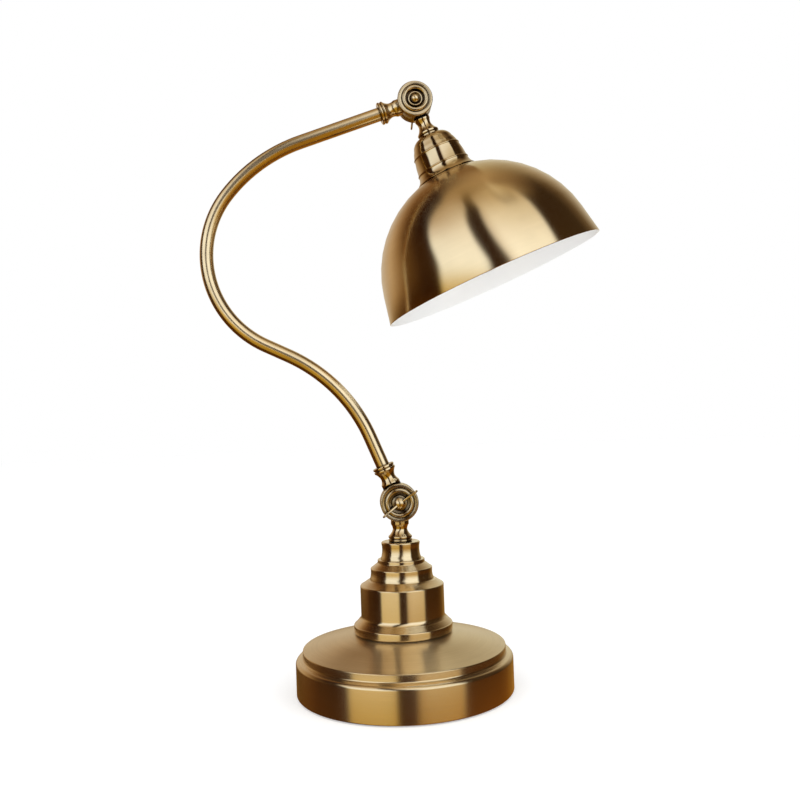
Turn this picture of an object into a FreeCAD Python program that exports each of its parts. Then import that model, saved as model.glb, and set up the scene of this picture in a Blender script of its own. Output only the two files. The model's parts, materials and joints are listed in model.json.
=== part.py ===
"""Dome shade desk lamp: weighted round base, bent tube arm between two clamped knuckles, domed shade.

Millimetres and degrees. +Z is up, +X is the side the shade hangs over, and the arm lies in the
XZ plane. The origin is the centre of the base's underside, on the surface that the lamp stands on.
"""
import FreeCAD
import Part
import Sketcher
import math
import os

# Driving dimensions: name, value, meaning.
SIZES = (
    # base
    ("base_radius", 94.4, "outside radius of the base wall"),
    ("base_wall_height", 31.5, "height of the ledge where the wall ends"),
    ("base_corner", 3.4, "rounding between wall and ledge"),
    ("base_foot_round", 1.1, "rolled lower edge of the wall"),
    ("ledge_width", 6.2, "width of the ledge inside the wall"),
    ("ledge_fall", 0.6, "fall of the ledge towards the wall"),
    ("step_cove", 1.5, "hollow rounding between ledge and step"),
    ("step_round", 0.9, "rounding of the step's upper edge"),
    ("step_height", 5.6, "height of the upright step above the ledge"),
    ("crown_height", 12.2, "rise of the base's top from the step to the collar"),
    ("crown_swell", 1.0, "swell of the base's top above a straight cone"),
    ("sheet", 1.5, "thickness of the spun sheet of base and pedestal"),
    ("pad_thickness", 2.0, "pad under the base"),
    ("pad_margin", 4.0, "pad's edge inside the wall's outside"),
    ("skirt_lift", 1.0, "height of the wall's lower edge above the surface"),
    ("weight_gap", 2.0, "space between the weight and the wall"),
    ("weight_height", 17.0, "thickness of the weight's disc"),
    ("weight_hub_radius", 16.0, "radius of the weight's hub"),
    ("weight_hub_flare", 10.0, "how much wider the hub is where it meets the disc"),
    ("recess_radius", 13.0, "radius of the recess for nut and washer under the weight"),
    ("recess_depth", 9.0, "depth of that recess"),
    ("channel_play", 0.6, "space round the bush in the lead's channel under the weight"),
    # pedestal
    ("collar_radius", 43.0, "radius of the collar round the column's foot"),
    ("collar_height", 7.2, "height of the collar's band"),
    ("collar_undercut", 1.6, "turned-in lower edge of the collar"),
    ("collar_round", 0.8, "rounding of the collar's upper edge"),
    ("collar_lap", 2.0, "how far the base's top runs in under the collar"),
    ("column_radius", 36.5, "radius of the column"),
    ("column_flare", 8.0, "height of the flare from collar to column"),
    ("column_height", 41.0, "height of the column's edge above the base's top"),
    ("column_edge", 1.2, "rounding of the column's upper edge"),
    ("column_flare_width", 2.4, "width of the hollow part of that flare"),
    ("column_cove", 4.4, "rise of the cove on top of the column"),
    ("cove_end", 1.6, "where the cove ends, outside the shoulder"),
    ("cove_drop", 0.6, "small step from the cove to the shoulder's foot"),
    ("shoulder_radius", 28.0, "radius of the shoulder at its foot"),
    ("shoulder_waist", 27.0, "radius of the shoulder at its upper edge"),
    ("shoulder_height", 10.2, "height of the shoulder's upright side"),
    ("shoulder_slope", 4.4, "rise of the slope above the shoulder"),
    ("shoulder_round", 1.0, "rounding of the shoulder's upper edge"),
    ("shoulder_hollow", 0.6, "hollow of the shoulder's side"),
    ("bead_radius", 20.6, "radius of the small step under the cap"),
    ("bead_height", 2.6, "height of the small step under the cap"),
    ("bead_edge", 0.6, "rounding of that step's edges"),
    ("cap_radius", 16.9, "radius of the cap's rounded rim"),
    ("cap_foot_radius", 18.0, "radius of the cap's foot"),
    ("cap_hollow", 1.1, "hollow of the cap's side"),
    ("cap_height", 15.2, "height of the cap"),
    ("cap_round", 1.2, "rounding of the cap's rim"),
    # threaded tubes, nuts and the lead's inlet
    ("nipple_radius", 5.0, "outside radius of the threaded tubes"),
    ("nipple_bore", 3.5, "bore of the threaded tubes"),
    ("nipple_grip", 8.0, "length of threaded tube inside what it holds"),
    ("thread_play", 0.05, "radial clearance of threads and shafts in their holes"),
    ("nut_width", 14.0, "width across the flats of the nuts"),
    ("nut_height", 4.0, "height of the nuts"),
    ("thread_end", 1.0, "threaded tube beyond its nut"),
    ("plate_radius", 10.5, "radius of the plain washer"),
    ("plate_thickness", 1.2, "thickness of the plain washer"),
    ("bush_height", 11.0, "height of the lead's inlet above the surface"),
    ("bush_bore", 3.3, "bore of the lead's inlet"),
    ("bush_radius", 4.6, "radius of the bush in the wall"),
    ("bush_flange", 7.0, "radius of the bush's flange"),
    ("bush_lip", 2.0, "thickness of the bush's flange"),
    ("bush_round", 0.9, "rounding of the bush's flange and mouth"),
    ("bush_reach", 5.0, "length of the bush inside the wall"),
    # knuckles
    ("disc_thickness", 9.4, "thickness of each knuckle disc"),
    ("turning_gap", 0.2, "play between a friction washer and the disc that turns on it"),
    ("friction_thickness", 0.8, "thickness of the friction washers"),
    ("washer_margin", 1.5, "friction washers' edge inside the discs' edge"),
    ("relief", 1.9, "gap between a knuckle's neck and the other half's disc"),
    ("relief_cut", 0.3, "how far that gap is cut behind the disc's inner face"),
    ("low_disc", 16.6, "radius of the lower knuckle's discs"),
    ("top_disc", 15.5, "radius of the upper knuckle's discs"),
    ("low_bead", 12.6, "outside radius of the ring on the lower discs"),
    ("top_bead", 11.6, "outside radius of the ring on the upper discs"),
    ("bead_width", 3.4, "width of the ring on the discs"),
    ("bead_rise", 1.0, "rise of the ring above the disc's face"),
    ("groove_width", 0.9, "width of the groove round the ring"),
    ("groove_depth", 0.9, "depth of the groove round the ring"),
    ("disc_bevel", 0.6, "bevel of the discs' edges"),
    ("seat_depth", 3.2, "depth of the recess for screw head or cap nut"),
    ("screw_radius", 3.0, "radius of the clamping screws"),
    ("wire_bore", 3.2, "bore of the knuckles' necks"),
    ("stud_root", 7.9, "base stud: radius of the neck at the discs"),
    ("stud_waist", 6.3, "base stud: radius of the waist"),
    ("stud_ring", 10.3, "base stud: radius of the flange"),
    ("stud_length", 34.0, "base stud: joint axis to the flange's end"),
    ("foot_root", 8.3, "arm's foot: radius of the neck at the discs"),
    ("foot_waist", 6.4, "arm's foot: radius of the waist"),
    ("foot_ring", 9.6, "arm's foot: radius of the rings"),
    ("foot_length", 35.0, "arm's foot: joint axis to the end of the rings"),
    ("tip_root", 7.2, "arm's tip: radius of the neck at the discs"),
    ("tip_waist", 6.1, "arm's tip: radius of the waist"),
    ("tip_ring", 9.7, "arm's tip: radius of the rings"),
    ("tip_length", 33.0, "arm's tip: joint axis to the end of the rings"),
    ("neck_root", 6.9, "shade's neck: radius at the discs"),
    ("neck_waist", 5.8, "shade's neck: radius of the waist"),
    ("neck_ring", 9.7, "shade's neck: radius of the rings"),
    ("neck_length", 34.0, "shade's neck: joint axis to the end of the rings"),
    ("neck_overlap", 3.6, "how far each neck runs into its disc"),
    ("root_land", 0.5, "straight length of each neck beyond the gap"),
    ("ring_band", 5.2, "length of each pair of rings"),
    ("ring_groove", 0.9, "depth of the groove between two rings"),
    ("ring_edge", 0.6, "bevel of the rings' edges"),
    ("neck_hollow", 0.5, "hollow of the necks between root, waist and rings"),
    ("socket_depth", 7.0, "depth of the arm tube inside each end"),
    # clamping screws and cap nuts
    ("head_flange", 6.4, "radius of the flange of screw heads and cap nuts"),
    ("head_dome", 4.8, "radius of the wing screw's domed head"),
    ("cap_dome", 3.7, "radius of the cap nut's dome"),
    ("dome_rise", 2.6, "height of the wing screw's dome"),
    ("cap_rise", 2.2, "height of the cap nut's dome"),
    ("cap_ring_drop", 0.9, "cap nut's ring below the disc's face"),
    ("cap_ring_width", 1.4, "width of the cap nut's ring"),
    ("cap_groove", 0.6, "groove between the cap nut's ring and its dome"),
    ("tail_room", 0.3, "space beyond the screw's end in the cap nut"),
    ("flange_height", 1.8, "height of the wing screw's flange"),
    ("wing_span", 38.0, "wing screw from tip to tip"),
    ("wing_thickness", 1.5, "thickness of the wings"),
    ("wing_reach", 9.5, "how far the wings stand out from the disc's ring"),
    ("wing_clearance", 0.7, "gap between the wings and the disc's ring"),
    ("wing_root", 2.4, "depth of the wings at the head"),
    ("wing_tip", 1.6, "bulge of the wings' rounded tips"),
    ("wing_curve", 0.9, "curve of the wings' long edges"),
    ("low_wing_angle", 36.0, "lower wings above the horizontal"),
    ("top_wing_angle", 84.0, "upper wings above the horizontal"),
    ("screw_tail", 2.8, "length of screw inside the cap nut"),
    # arm
    ("arm_lean", 22.0, "lean of the arm's foot from the vertical"),
    ("tube_radius", 5.9, "outside radius of the arm's tube"),
    ("tube_wall", 1.2, "wall of the arm's tube"),
    ("lower_run", 62.0, "straight length from the lower joint's axis"),
    ("lower_bend_radius", 141.0, "radius of the first bend"),
    ("lower_bend_angle", 42.0, "angle of the first bend"),
    ("middle_run", 21.5, "straight length between the bends"),
    ("main_bend_radius", 87.0, "radius of the main bend"),
    ("main_bend_angle", 103.0, "angle of the main bend"),
    ("upper_bend_radius", 141.5, "radius of the easing bend"),
    ("upper_bend_angle", 32.5, "angle of the easing bend"),
    ("upper_run", 107.5, "straight length up to the upper joint's axis"),
    # shade, cup, lampholder and bulb, measured from the upper joint's axis along the shade's axis
    ("shade_tilt", 22.0, "lean of the shade's axis from the vertical"),
    ("dome_radius", 96.7, "radius of the dome"),
    ("dome_lift", 7.4, "dome's centre above the rim"),
    ("skirt_lean", 11.0, "lean of the straight skirt under the dome"),
    ("shade_wall", 1.0, "thickness of the shade"),
    ("shade_hole", 20.4, "radius of the shade's hole"),
    ("cup_wall", 1.0, "thickness of the cup"),
    ("cup_length", 38.2, "cup's top to its rim"),
    ("cup_top_radius", 13.0, "flat top of the cup"),
    ("cup_shoulder_radius", 18.4, "radius of the cup below its rounded shoulder"),
    ("cup_shoulder_drop", 6.8, "length of the cup's rounded shoulder"),
    ("cup_side_radius", 21.0, "radius of the cup at its upper bead"),
    ("cup_mouth_radius", 23.3, "radius of the cup at its lower bead"),
    ("cup_rim_radius", 27.8, "radius of the cup's flared rim"),
    ("cup_upper_bead", 14.4, "cup's top to its upper bead"),
    ("cup_lower_bead", 29.0, "cup's top to its lower bead"),
    ("cup_bead", 0.6, "height of the cup's beads"),
    ("cup_bead_width", 1.6, "width of the cup's beads"),
    ("cup_bead_step", 0.2, "how much wider the cup is just under each bead"),
    ("cup_shoulder_bulge", 1.0, "bulge of the cup's shoulder"),
    ("cup_side_bulge", 0.3, "bulge of the cup's sides between shoulder and beads"),
    ("cup_flare", 0.9, "hollow of the flare towards the cup's rim"),
    ("cup_seat_gap", 0.1, "gap between the cup's rim and the dome"),
    ("holder_cap_radius", 16.5, "radius of the lampholder's cap"),
    ("holder_cap_height", 8.0, "height of the lampholder's cap"),
    ("holder_cap_slope", 4.0, "width and height of the slope round the cap's top"),
    ("holder_cap_wall", 2.5, "wall of the lampholder's cap"),
    ("holder_body_length", 18.4, "lampholder's body above the face that the shade is clamped to"),
    ("holder_radius", 19.8, "radius of the lampholder's threaded skirt"),
    ("holder_collar", 22.0, "radius of the collar that the shade is clamped to"),
    ("holder_collar_height", 3.2, "height of that collar"),
    ("holder_collar_slope", 3.0, "height of the slope above that collar"),
    ("holder_wall", 2.4, "wall of the lampholder's body"),
    ("skirt_bevel", 1.0, "bevel at the end of the threaded skirt"),
    ("holder_skirt", 21.0, "length of the threaded skirt under the shade"),
    ("holder_bore", 15.2, "bore of the lampholder"),
    ("insert_height", 6.0, "thickness of the contact block"),
    ("tongue_radius", 3.6, "radius of the centre contact's foot"),
    ("tongue_tip", 2.2, "radius of the centre contact's tip"),
    ("tongue_rise", 2.1, "height of the centre contact"),
    ("tongue_foot", 0.6, "thickness of the centre contact's foot"),
    ("contact_gap", 0.1, "gap between the centre contact and the bulb"),
    ("shell_radius", 14.9, "outside radius of the screw shell"),
    ("shell_wall", 0.6, "wall of the screw shell"),
    ("shell_length", 22.0, "length of the screw shell"),
    ("ring_nut_radius", 27.0, "outside radius of the shade's ring nut"),
    ("ring_nut_height", 7.0, "height of the shade's ring nut"),
    ("ring_nut_flange", 2.4, "height of the ring nut's flange"),
    ("ring_nut_step", 2.6, "ring nut's flange beyond its grip"),
    ("ring_nut_bevel", 0.8, "bevels of the ring nut"),
    ("bulb_cap_radius", 13.2, "radius of the bulb's cap"),
    ("bulb_cap_length", 24.0, "length of the bulb's cap"),
    ("bulb_cap_slope", 1.6, "slope round the bulb cap's foot"),
    ("bulb_foot_radius", 9.0, "radius of the bulb's insulated foot"),
    ("bulb_foot_height", 3.4, "height of the bulb's insulated foot"),
    ("bulb_contact_radius", 4.4, "radius of the bulb's contact"),
    ("bulb_contact_height", 1.0, "height of the bulb's contact"),
    ("bulb_radius", 30.0, "radius of the bulb"),
    ("bulb_length", 104.0, "length of the bulb with its cap"),
    ("bulb_neck", 13.0, "radius of the bulb's neck in its cap"),
    ("bulb_throat", 17.0, "radius of the bulb where the neck meets the globe"),
    ("bulb_throat_drop", 17.0, "length of the neck"),
    ("bulb_wall", 1.0, "thickness of the bulb's glass"),
    ("bulb_flare", 2.6, "curve of the bulb's glass from neck to globe"),
)


# Bulge of a quarter round in proportion to its radius.
QUARTER_ROUND = 0.293


class Size:
    """A number together with the expression that gives it in the document."""

    def __init__(self, value, text):
        self.value = float(value)
        self.text = text

    def joined(self, other, sign, value):
        return Size(value, "(%s %s %s)" % (self.text, sign, other.text))

    def __add__(self, other):
        other = as_size(other)
        return self.joined(other, "+", self.value + other.value)

    def __radd__(self, other):
        return as_size(other) + self

    def __sub__(self, other):
        other = as_size(other)
        return self.joined(other, "-", self.value - other.value)

    def __rsub__(self, other):
        return as_size(other) - self

    def __mul__(self, other):
        other = as_size(other)
        return self.joined(other, "*", self.value * other.value)

    def __rmul__(self, other):
        return as_size(other) * self

    def __truediv__(self, other):
        other = as_size(other)
        return self.joined(other, "/", self.value / other.value)

    def __neg__(self):
        return Size(-self.value, "(-%s)" % self.text)


def as_size(item):
    return item if isinstance(item, Size) else Size(item, "%.9g" % item)


def cosine(angle):
    return Size(math.cos(math.radians(angle.value)), "cos(%s)" % angle.text)


def sine(angle):
    return Size(math.sin(math.radians(angle.value)), "sin(%s)" % angle.text)


def root(item):
    return Size(math.sqrt(item.value), "sqrt(%s)" % item.text)


class Sheet:
    """The driving dimensions as attributes, and derived places kept under a name."""

    def __init__(self, document):
        table = document.addObject("Spreadsheet::Sheet", "Sizes")
        for row, (name, value, meaning) in enumerate(SIZES, start=1):
            table.set("A%d" % row, name)
            table.set("B%d" % row, str(value))
            table.set("C%d" % row, meaning)
            table.setAlias("B%d" % row, name)
            setattr(self, name, Size(value, "Sizes.%s" % name))
        self.places = document.addObject("App::VarSet", "Places")
        document.recompute()

    def place(self, name, size):
        """Keep a derived size in the document under a name of its own."""
        self.places.addProperty("App::PropertyFloat", name)
        self.places.setExpression(name, size.text)
        setattr(self, name, Size(size.value, "Places.%s" % name))


def new_body(document, label):
    body = document.addObject("PartDesign::Body", label)
    body.Label = label
    return body


def new_sketch(body, name, plane):
    """A sketch on one of the body's own origin planes."""
    support = [item for item in body.Origin.OriginFeatures if item.Role == plane][0]
    sketch = body.newObject("Sketcher::SketchObject", name)
    sketch.AttachmentSupport = (support, [""])
    sketch.MapMode = "FlatFace"
    return sketch


def bind_constraint(sketch, kind, references, size):
    index = sketch.addConstraint(Sketcher.Constraint(kind, *references, size.value))
    sketch.setExpression("Constraints[%d]" % index, size.text)


def fix_point(sketch, geometry, end, point):
    """Hold one end of a line or arc at a bound distance from both axes."""
    for kind, axis, size in (("DistanceX", -2, point[0]), ("DistanceY", -1, point[1])):
        size = as_size(size)
        if size.text == "0":
            sketch.addConstraint(Sketcher.Constraint("PointOnObject", geometry, end, axis))
        else:
            bind_constraint(sketch, kind, (-1, 1, geometry, end), size)


def bulge_radius(first, second, bulge):
    """Radius of the arc between two points that stands out from its chord by the bulge."""
    across = as_size(second[0]) - first[0]
    along = as_size(second[1]) - first[1]
    return (across * across + along * along) / (8 * bulge) + bulge / 2


def add_arc(sketch, first, second, radius, leftward):
    """An arc from first to second; leftward says that its centre is on the left of the way."""
    start = FreeCAD.Vector(as_size(first[0]).value, as_size(first[1]).value, 0)
    finish = FreeCAD.Vector(as_size(second[0]).value, as_size(second[1]).value, 0)
    way = finish - start
    half = way.Length / 2
    aside = FreeCAD.Vector(-way.y, way.x, 0) / way.Length
    offset = math.sqrt(max(radius.value ** 2 - half ** 2, 0))
    centre = start + way / 2 + aside * (offset if leftward else -offset)
    begin, end = (start, finish) if leftward else (finish, start)
    first_angle = math.atan2(begin.y - centre.y, begin.x - centre.x)
    last_angle = math.atan2(end.y - centre.y, end.x - centre.x)
    if last_angle < first_angle:
        last_angle += 2 * math.pi
    circle = Part.Circle(centre, FreeCAD.Vector(0, 0, 1), radius.value)
    index = sketch.addGeometry(Part.ArcOfCircle(circle, first_angle, last_angle), False)
    bind_constraint(sketch, "Radius", (index,), radius)
    return index, ((1, 2) if leftward else (2, 1))


def draw(sketch, points, closed=True):
    """Join points by lines and arcs, every point bound to its sizes.

    A point is (x, y) or (x, y, bend) and the bend is that of the edge that leaves it: a size is
    the arc's bulge to the right of the way, ("left", size) its bulge to the left, and
    ("radius", size, leftward) an arc of that radius.
    """
    count = len(points)
    edges = []
    for index in range(count if closed else count - 1):
        first = points[index]
        second = points[(index + 1) % count]
        bend = first[2] if len(first) > 2 else None
        if bend is None:
            start = FreeCAD.Vector(as_size(first[0]).value, as_size(first[1]).value, 0)
            finish = FreeCAD.Vector(as_size(second[0]).value, as_size(second[1]).value, 0)
            geometry = sketch.addGeometry(Part.LineSegment(start, finish), False)
            edges.append((geometry, (1, 2)))
        elif isinstance(bend, tuple) and bend[0] == "radius":
            edges.append(add_arc(sketch, first, second, bend[1], bend[2]))
        elif isinstance(bend, tuple):
            edges.append(add_arc(sketch, first, second, bulge_radius(first, second, bend[1]), False))
        else:
            edges.append(add_arc(sketch, first, second, bulge_radius(first, second, bend), True))
    for index, (geometry, ends) in enumerate(edges):
        if closed or index + 1 < len(edges):
            after, after_ends = edges[(index + 1) % len(edges)]
            sketch.addConstraint(Sketcher.Constraint("Coincident", geometry, ends[1], after, after_ends[0]))
        fix_point(sketch, geometry, ends[0], points[index])
    if not closed:
        fix_point(sketch, edges[-1][0], edges[-1][1][1], points[-1])


def add_circle(sketch, radius):
    """A circle about the sketch's own origin."""
    circle = Part.Circle(FreeCAD.Vector(0, 0, 0), FreeCAD.Vector(0, 0, 1), radius.value)
    index = sketch.addGeometry(circle, False)
    sketch.addConstraint(Sketcher.Constraint("Coincident", index, 3, -1, 1))
    bind_constraint(sketch, "Radius", (index,), radius)


def turn(body, name, points, plane="XZ_Plane", cut=False):
    """Turn an outline about the sketch's upright axis, as metal or as a cut."""
    sketch = new_sketch(body, name + "Outline", plane)
    draw(sketch, points)
    feature = body.newObject("PartDesign::Groove" if cut else "PartDesign::Revolution", name)
    feature.Profile = sketch
    feature.ReferenceAxis = (sketch, ["V_Axis"])
    feature.Angle = 360
    return feature


def turned_body(document, label, points, plane="XZ_Plane"):
    body = new_body(document, label)
    turn(body, label.title().replace("_", ""), points, plane)
    return body


def stand(body, x=0, y=0, z=0, turn_angle=None):
    """Place a body by bound distances, turned about the Y axis by a bound angle."""
    about_y = FreeCAD.Rotation(FreeCAD.Vector(0, 1, 0), 1)
    body.Placement = FreeCAD.Placement(FreeCAD.Vector(0, 0, 0), about_y)
    for axis, size in (("x", x), ("y", y), ("z", z)):
        body.setExpression("Placement.Base." + axis, as_size(size).text)
    angle = as_size(0 if turn_angle is None else turn_angle)
    body.setExpression("Placement.Rotation.Angle", angle.text)


def outward(bulge, side):
    """The same bulge on an outline drawn along +Y (side 1) and on its mirror image (side -1)."""
    return bulge if side > 0 else ("left", bulge)


def hexagon(width):
    """Corners of a hexagon of this width across its flats."""
    corner = width / math.sqrt(3)
    return [(corner * math.cos(math.radians(60 * step)), corner * math.sin(math.radians(60 * step)))
            for step in range(6)]


def hex_nut(document, label, bore, width, height):
    body = new_body(document, label)
    sketch = new_sketch(body, label.title().replace("_", "") + "Outline", "XY_Plane")
    draw(sketch, hexagon(width))
    add_circle(sketch, bore)
    pad = body.newObject("PartDesign::Pad", label.title().replace("_", ""))
    pad.Profile = sketch
    pad.setExpression("Length", height.text)
    return body


def tube_outline(inner, outer, low, high):
    return [(inner, low), (outer, low), (outer, high), (inner, high)]


# ---------------------------------------------------------------- base


def derive_base(d):
    """Heights and radii of the base and pedestal, from the surface upwards."""
    d.place("ledge_height", d.base_wall_height)
    d.place("step_radius", d.base_radius - d.ledge_width)
    d.place("step_top", d.ledge_height + d.step_cove + d.step_height)
    d.place("crown_top", d.step_top + d.crown_height)
    d.place("column_top", d.crown_top + d.column_height)
    d.place("shoulder_foot", d.column_top + d.column_cove)
    d.place("shoulder_top", d.shoulder_foot + d.shoulder_height)
    d.place("slope_top", d.shoulder_top + d.shoulder_slope)
    d.place("cap_foot", d.slope_top + d.bead_height)
    d.place("cap_top", d.cap_foot + d.cap_height)
    d.place("joint_height", d.cap_top + d.stud_length)
    d.place("thread_hole", d.nipple_radius + d.thread_play)
    d.place("recess_top", d.pad_thickness + d.recess_depth)


def base_cover(document, d):
    """Spun cover: tall wall, ledge, upright step and slightly domed conical top."""
    inside = d.base_radius - d.sheet
    step_inside = d.step_radius - d.sheet
    corner_start = inside - d.base_corner + d.sheet * 0.4
    centre_edge = d.collar_radius - d.collar_undercut - d.collar_lap
    outline = [
        (d.thread_hole, d.crown_top - d.sheet),
        (centre_edge, d.crown_top - d.sheet, ("left", d.crown_swell)),
        (step_inside, d.step_top - d.sheet),
        (step_inside, d.ledge_height - d.sheet),
        (corner_start, d.ledge_height - d.sheet, ("left", d.base_corner * QUARTER_ROUND)),
        (inside, d.ledge_height - d.sheet - d.base_corner),
        (inside, d.skirt_lift),
        (d.base_radius - d.base_foot_round, d.skirt_lift, d.base_foot_round * QUARTER_ROUND),
        (d.base_radius, d.skirt_lift + d.base_foot_round),
        (d.base_radius, d.ledge_height - d.ledge_fall - d.base_corner, d.base_corner * QUARTER_ROUND),
        (d.base_radius - d.base_corner, d.ledge_height - d.ledge_fall),
        (d.step_radius + d.step_cove, d.ledge_height, ("left", d.step_cove * QUARTER_ROUND)),
        (d.step_radius, d.ledge_height + d.step_cove),
        (d.step_radius, d.step_top - d.step_round, d.step_round * QUARTER_ROUND),
        (d.step_radius - d.step_round, d.step_top, d.crown_swell),
        (centre_edge, d.crown_top),
        (d.thread_hole, d.crown_top),
    ]
    body = turned_body(document, "base_cover", outline)
    document.recompute()
    sketch = new_sketch(body, "InletCircle", "XZ_Plane")
    add_round_hole(sketch, d.bush_height, d.bush_radius)
    pocket = body.newObject("PartDesign::Pocket", "Inlet")
    pocket.Profile = sketch
    pocket.Type = "ThroughAll"
    return body


def add_round_hole(sketch, height, radius):
    """A circle on the sketch's upright axis at a bound height."""
    circle = Part.Circle(FreeCAD.Vector(0, height.value, 0), FreeCAD.Vector(0, 0, 1), radius.value)
    index = sketch.addGeometry(circle, False)
    sketch.addConstraint(Sketcher.Constraint("PointOnObject", index, 3, -2))
    bind_constraint(sketch, "DistanceY", (-1, 1, index, 3), height)
    bind_constraint(sketch, "Radius", (index,), radius)


def base_weight(document, d):
    """Cast weight: a disc and a hub that carries the cover, with a recess and a lead channel."""
    edge = d.base_radius - d.sheet - d.weight_gap
    disc_top = d.pad_thickness + d.weight_height
    outline = [
        (d.thread_hole, d.recess_top),
        (d.recess_radius, d.recess_top),
        (d.recess_radius, d.pad_thickness),
        (edge, d.pad_thickness),
        (edge, disc_top),
        (d.weight_hub_radius + d.weight_hub_flare, disc_top),
        (d.weight_hub_radius, d.crown_top - d.sheet),
        (d.thread_hole, d.crown_top - d.sheet),
    ]
    body = turned_body(document, "base_weight", outline)
    document.recompute()
    sketch = new_sketch(body, "ChannelOutline", "XZ_Plane")
    half = d.bush_radius + d.channel_play
    top = d.bush_height + half
    draw(sketch, [(-half, d.pad_thickness), (half, d.pad_thickness), (half, top), (-half, top)])
    pocket = body.newObject("PartDesign::Pocket", "Channel")
    pocket.Profile = sketch
    pocket.Type = "ThroughAll"
    return body


def base_pad(document, d):
    radius = d.base_radius - d.pad_margin
    outline = [(0, 0), (radius, 0), (radius, d.pad_thickness), (0, d.pad_thickness)]
    return turned_body(document, "base_pad", outline)


def pedestal_column(document, d):
    """Spun column with its collar; the cove on top runs in to the shoulder."""
    inner = d.column_radius - d.sheet
    low = d.crown_top
    collar_top = low + d.collar_height
    flare_turn = collar_top + d.column_flare * 0.45
    flare_hollow = ("left", d.column_flare_width * QUARTER_ROUND)
    cove_hollow = ("left", d.cove_drop * QUARTER_ROUND)
    outline = [
        (d.collar_radius - d.collar_undercut - d.sheet, low),
        (d.collar_radius - d.collar_undercut, low, d.collar_undercut * QUARTER_ROUND),
        (d.collar_radius, low + d.collar_undercut),
        (d.collar_radius, collar_top - d.collar_round, d.collar_round * QUARTER_ROUND),
        (d.collar_radius - d.collar_round, collar_top),
        (d.column_radius + d.column_flare_width, flare_turn, flare_hollow),
        (d.column_radius, collar_top + d.column_flare),
        (d.column_radius, d.column_top - d.column_edge, d.column_edge * QUARTER_ROUND),
        (d.column_radius - d.column_edge, d.column_top),
        (d.shoulder_radius + d.cove_end, d.shoulder_foot - d.cove_drop, cove_hollow),
        (d.shoulder_radius, d.shoulder_foot),
        (d.thread_hole, d.shoulder_foot),
        (d.thread_hole, d.shoulder_foot - d.sheet),
        (d.shoulder_radius, d.shoulder_foot - d.sheet),
        (inner - d.column_edge, d.column_top - d.sheet),
        (inner, d.column_top - d.sheet - d.column_edge),
        (inner, collar_top + d.column_flare - d.sheet),
        (d.collar_radius - d.collar_undercut - d.sheet, collar_top - d.sheet),
    ]
    return turned_body(document, "pedestal_column", outline)


def pedestal_shoulder(document, d):
    """Second storey of the pedestal: a waisted side, a slope and a small step."""
    inner = d.shoulder_waist - d.shoulder_hollow - d.sheet
    bead_inner = d.bead_radius - d.sheet
    outline = [
        (inner, d.shoulder_foot),
        (d.shoulder_radius, d.shoulder_foot, ("left", d.shoulder_hollow)),
        (d.shoulder_waist, d.shoulder_top - d.shoulder_round, d.shoulder_round * QUARTER_ROUND),
        (d.shoulder_waist - d.shoulder_round, d.shoulder_top),
        (d.bead_radius + d.bead_edge, d.slope_top - d.bead_edge, ("left", d.bead_edge * QUARTER_ROUND)),
        (d.bead_radius, d.slope_top),
        (d.bead_radius, d.cap_foot - d.bead_edge, d.bead_edge * QUARTER_ROUND),
        (d.bead_radius - d.bead_edge, d.cap_foot),
        (d.thread_hole, d.cap_foot),
        (d.thread_hole, d.cap_foot - d.sheet),
        (bead_inner, d.cap_foot - d.sheet),
        (bead_inner, d.slope_top - d.sheet),
        (inner, d.shoulder_top - d.sheet),
    ]
    return turned_body(document, "pedestal_shoulder", outline)


def pedestal_cap(document, d):
    """Small cap with a hollow side and a rounded rim; the base stud stands on it."""
    inner = d.cap_radius - d.cap_hollow - d.sheet
    outline = [
        (inner, d.cap_foot),
        (d.cap_foot_radius, d.cap_foot, ("left", d.cap_hollow)),
        (d.cap_radius, d.cap_top - d.cap_round, d.cap_round * QUARTER_ROUND),
        (d.cap_radius - d.cap_round, d.cap_top),
        (d.thread_hole, d.cap_top),
        (d.thread_hole, d.cap_top - d.sheet),
        (inner, d.cap_top - d.sheet),
    ]
    return turned_body(document, "pedestal_cap", outline)


def base_fixings(document, d):
    """Threaded tube through the whole stack, with its washer and nut under the weight."""
    washer_low = d.recess_top - d.plate_thickness
    nut_low = washer_low - d.nut_height
    bottom = nut_low - d.thread_end
    top = d.cap_top + d.nipple_grip
    turned_body(document, "base_nipple", tube_outline(d.nipple_bore, d.nipple_radius, bottom, top))
    washer = tube_outline(d.thread_hole, d.plate_radius, washer_low, d.recess_top)
    turned_body(document, "base_washer", washer)
    nut = hex_nut(document, "base_nut", d.thread_hole, d.nut_width, d.nut_height)
    stand(nut, z=nut_low)


def inlet_bush(document, d):
    """Bush in the rear of the wall, where a lead goes in: axis along Y."""
    seat = d.base_radius + d.thread_play
    inner = d.base_radius - d.sheet - d.bush_reach
    outline = [
        (d.bush_bore, inner),
        (d.bush_radius - d.thread_play, inner),
        (d.bush_radius - d.thread_play, seat),
        (d.bush_flange, seat),
        (d.bush_flange, seat + d.bush_lip - d.bush_round, d.bush_round * QUARTER_ROUND),
        (d.bush_flange - d.bush_round, seat + d.bush_lip),
        (d.bush_bore + d.bush_round, seat + d.bush_lip, ("left", d.bush_round * QUARTER_ROUND)),
        (d.bush_bore, seat + d.bush_lip - d.bush_round),
    ]
    body = turned_body(document, "inlet_bush", outline, "XY_Plane")
    stand(body, z=d.bush_height)
    return body


# ---------------------------------------------------------------- knuckles


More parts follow.
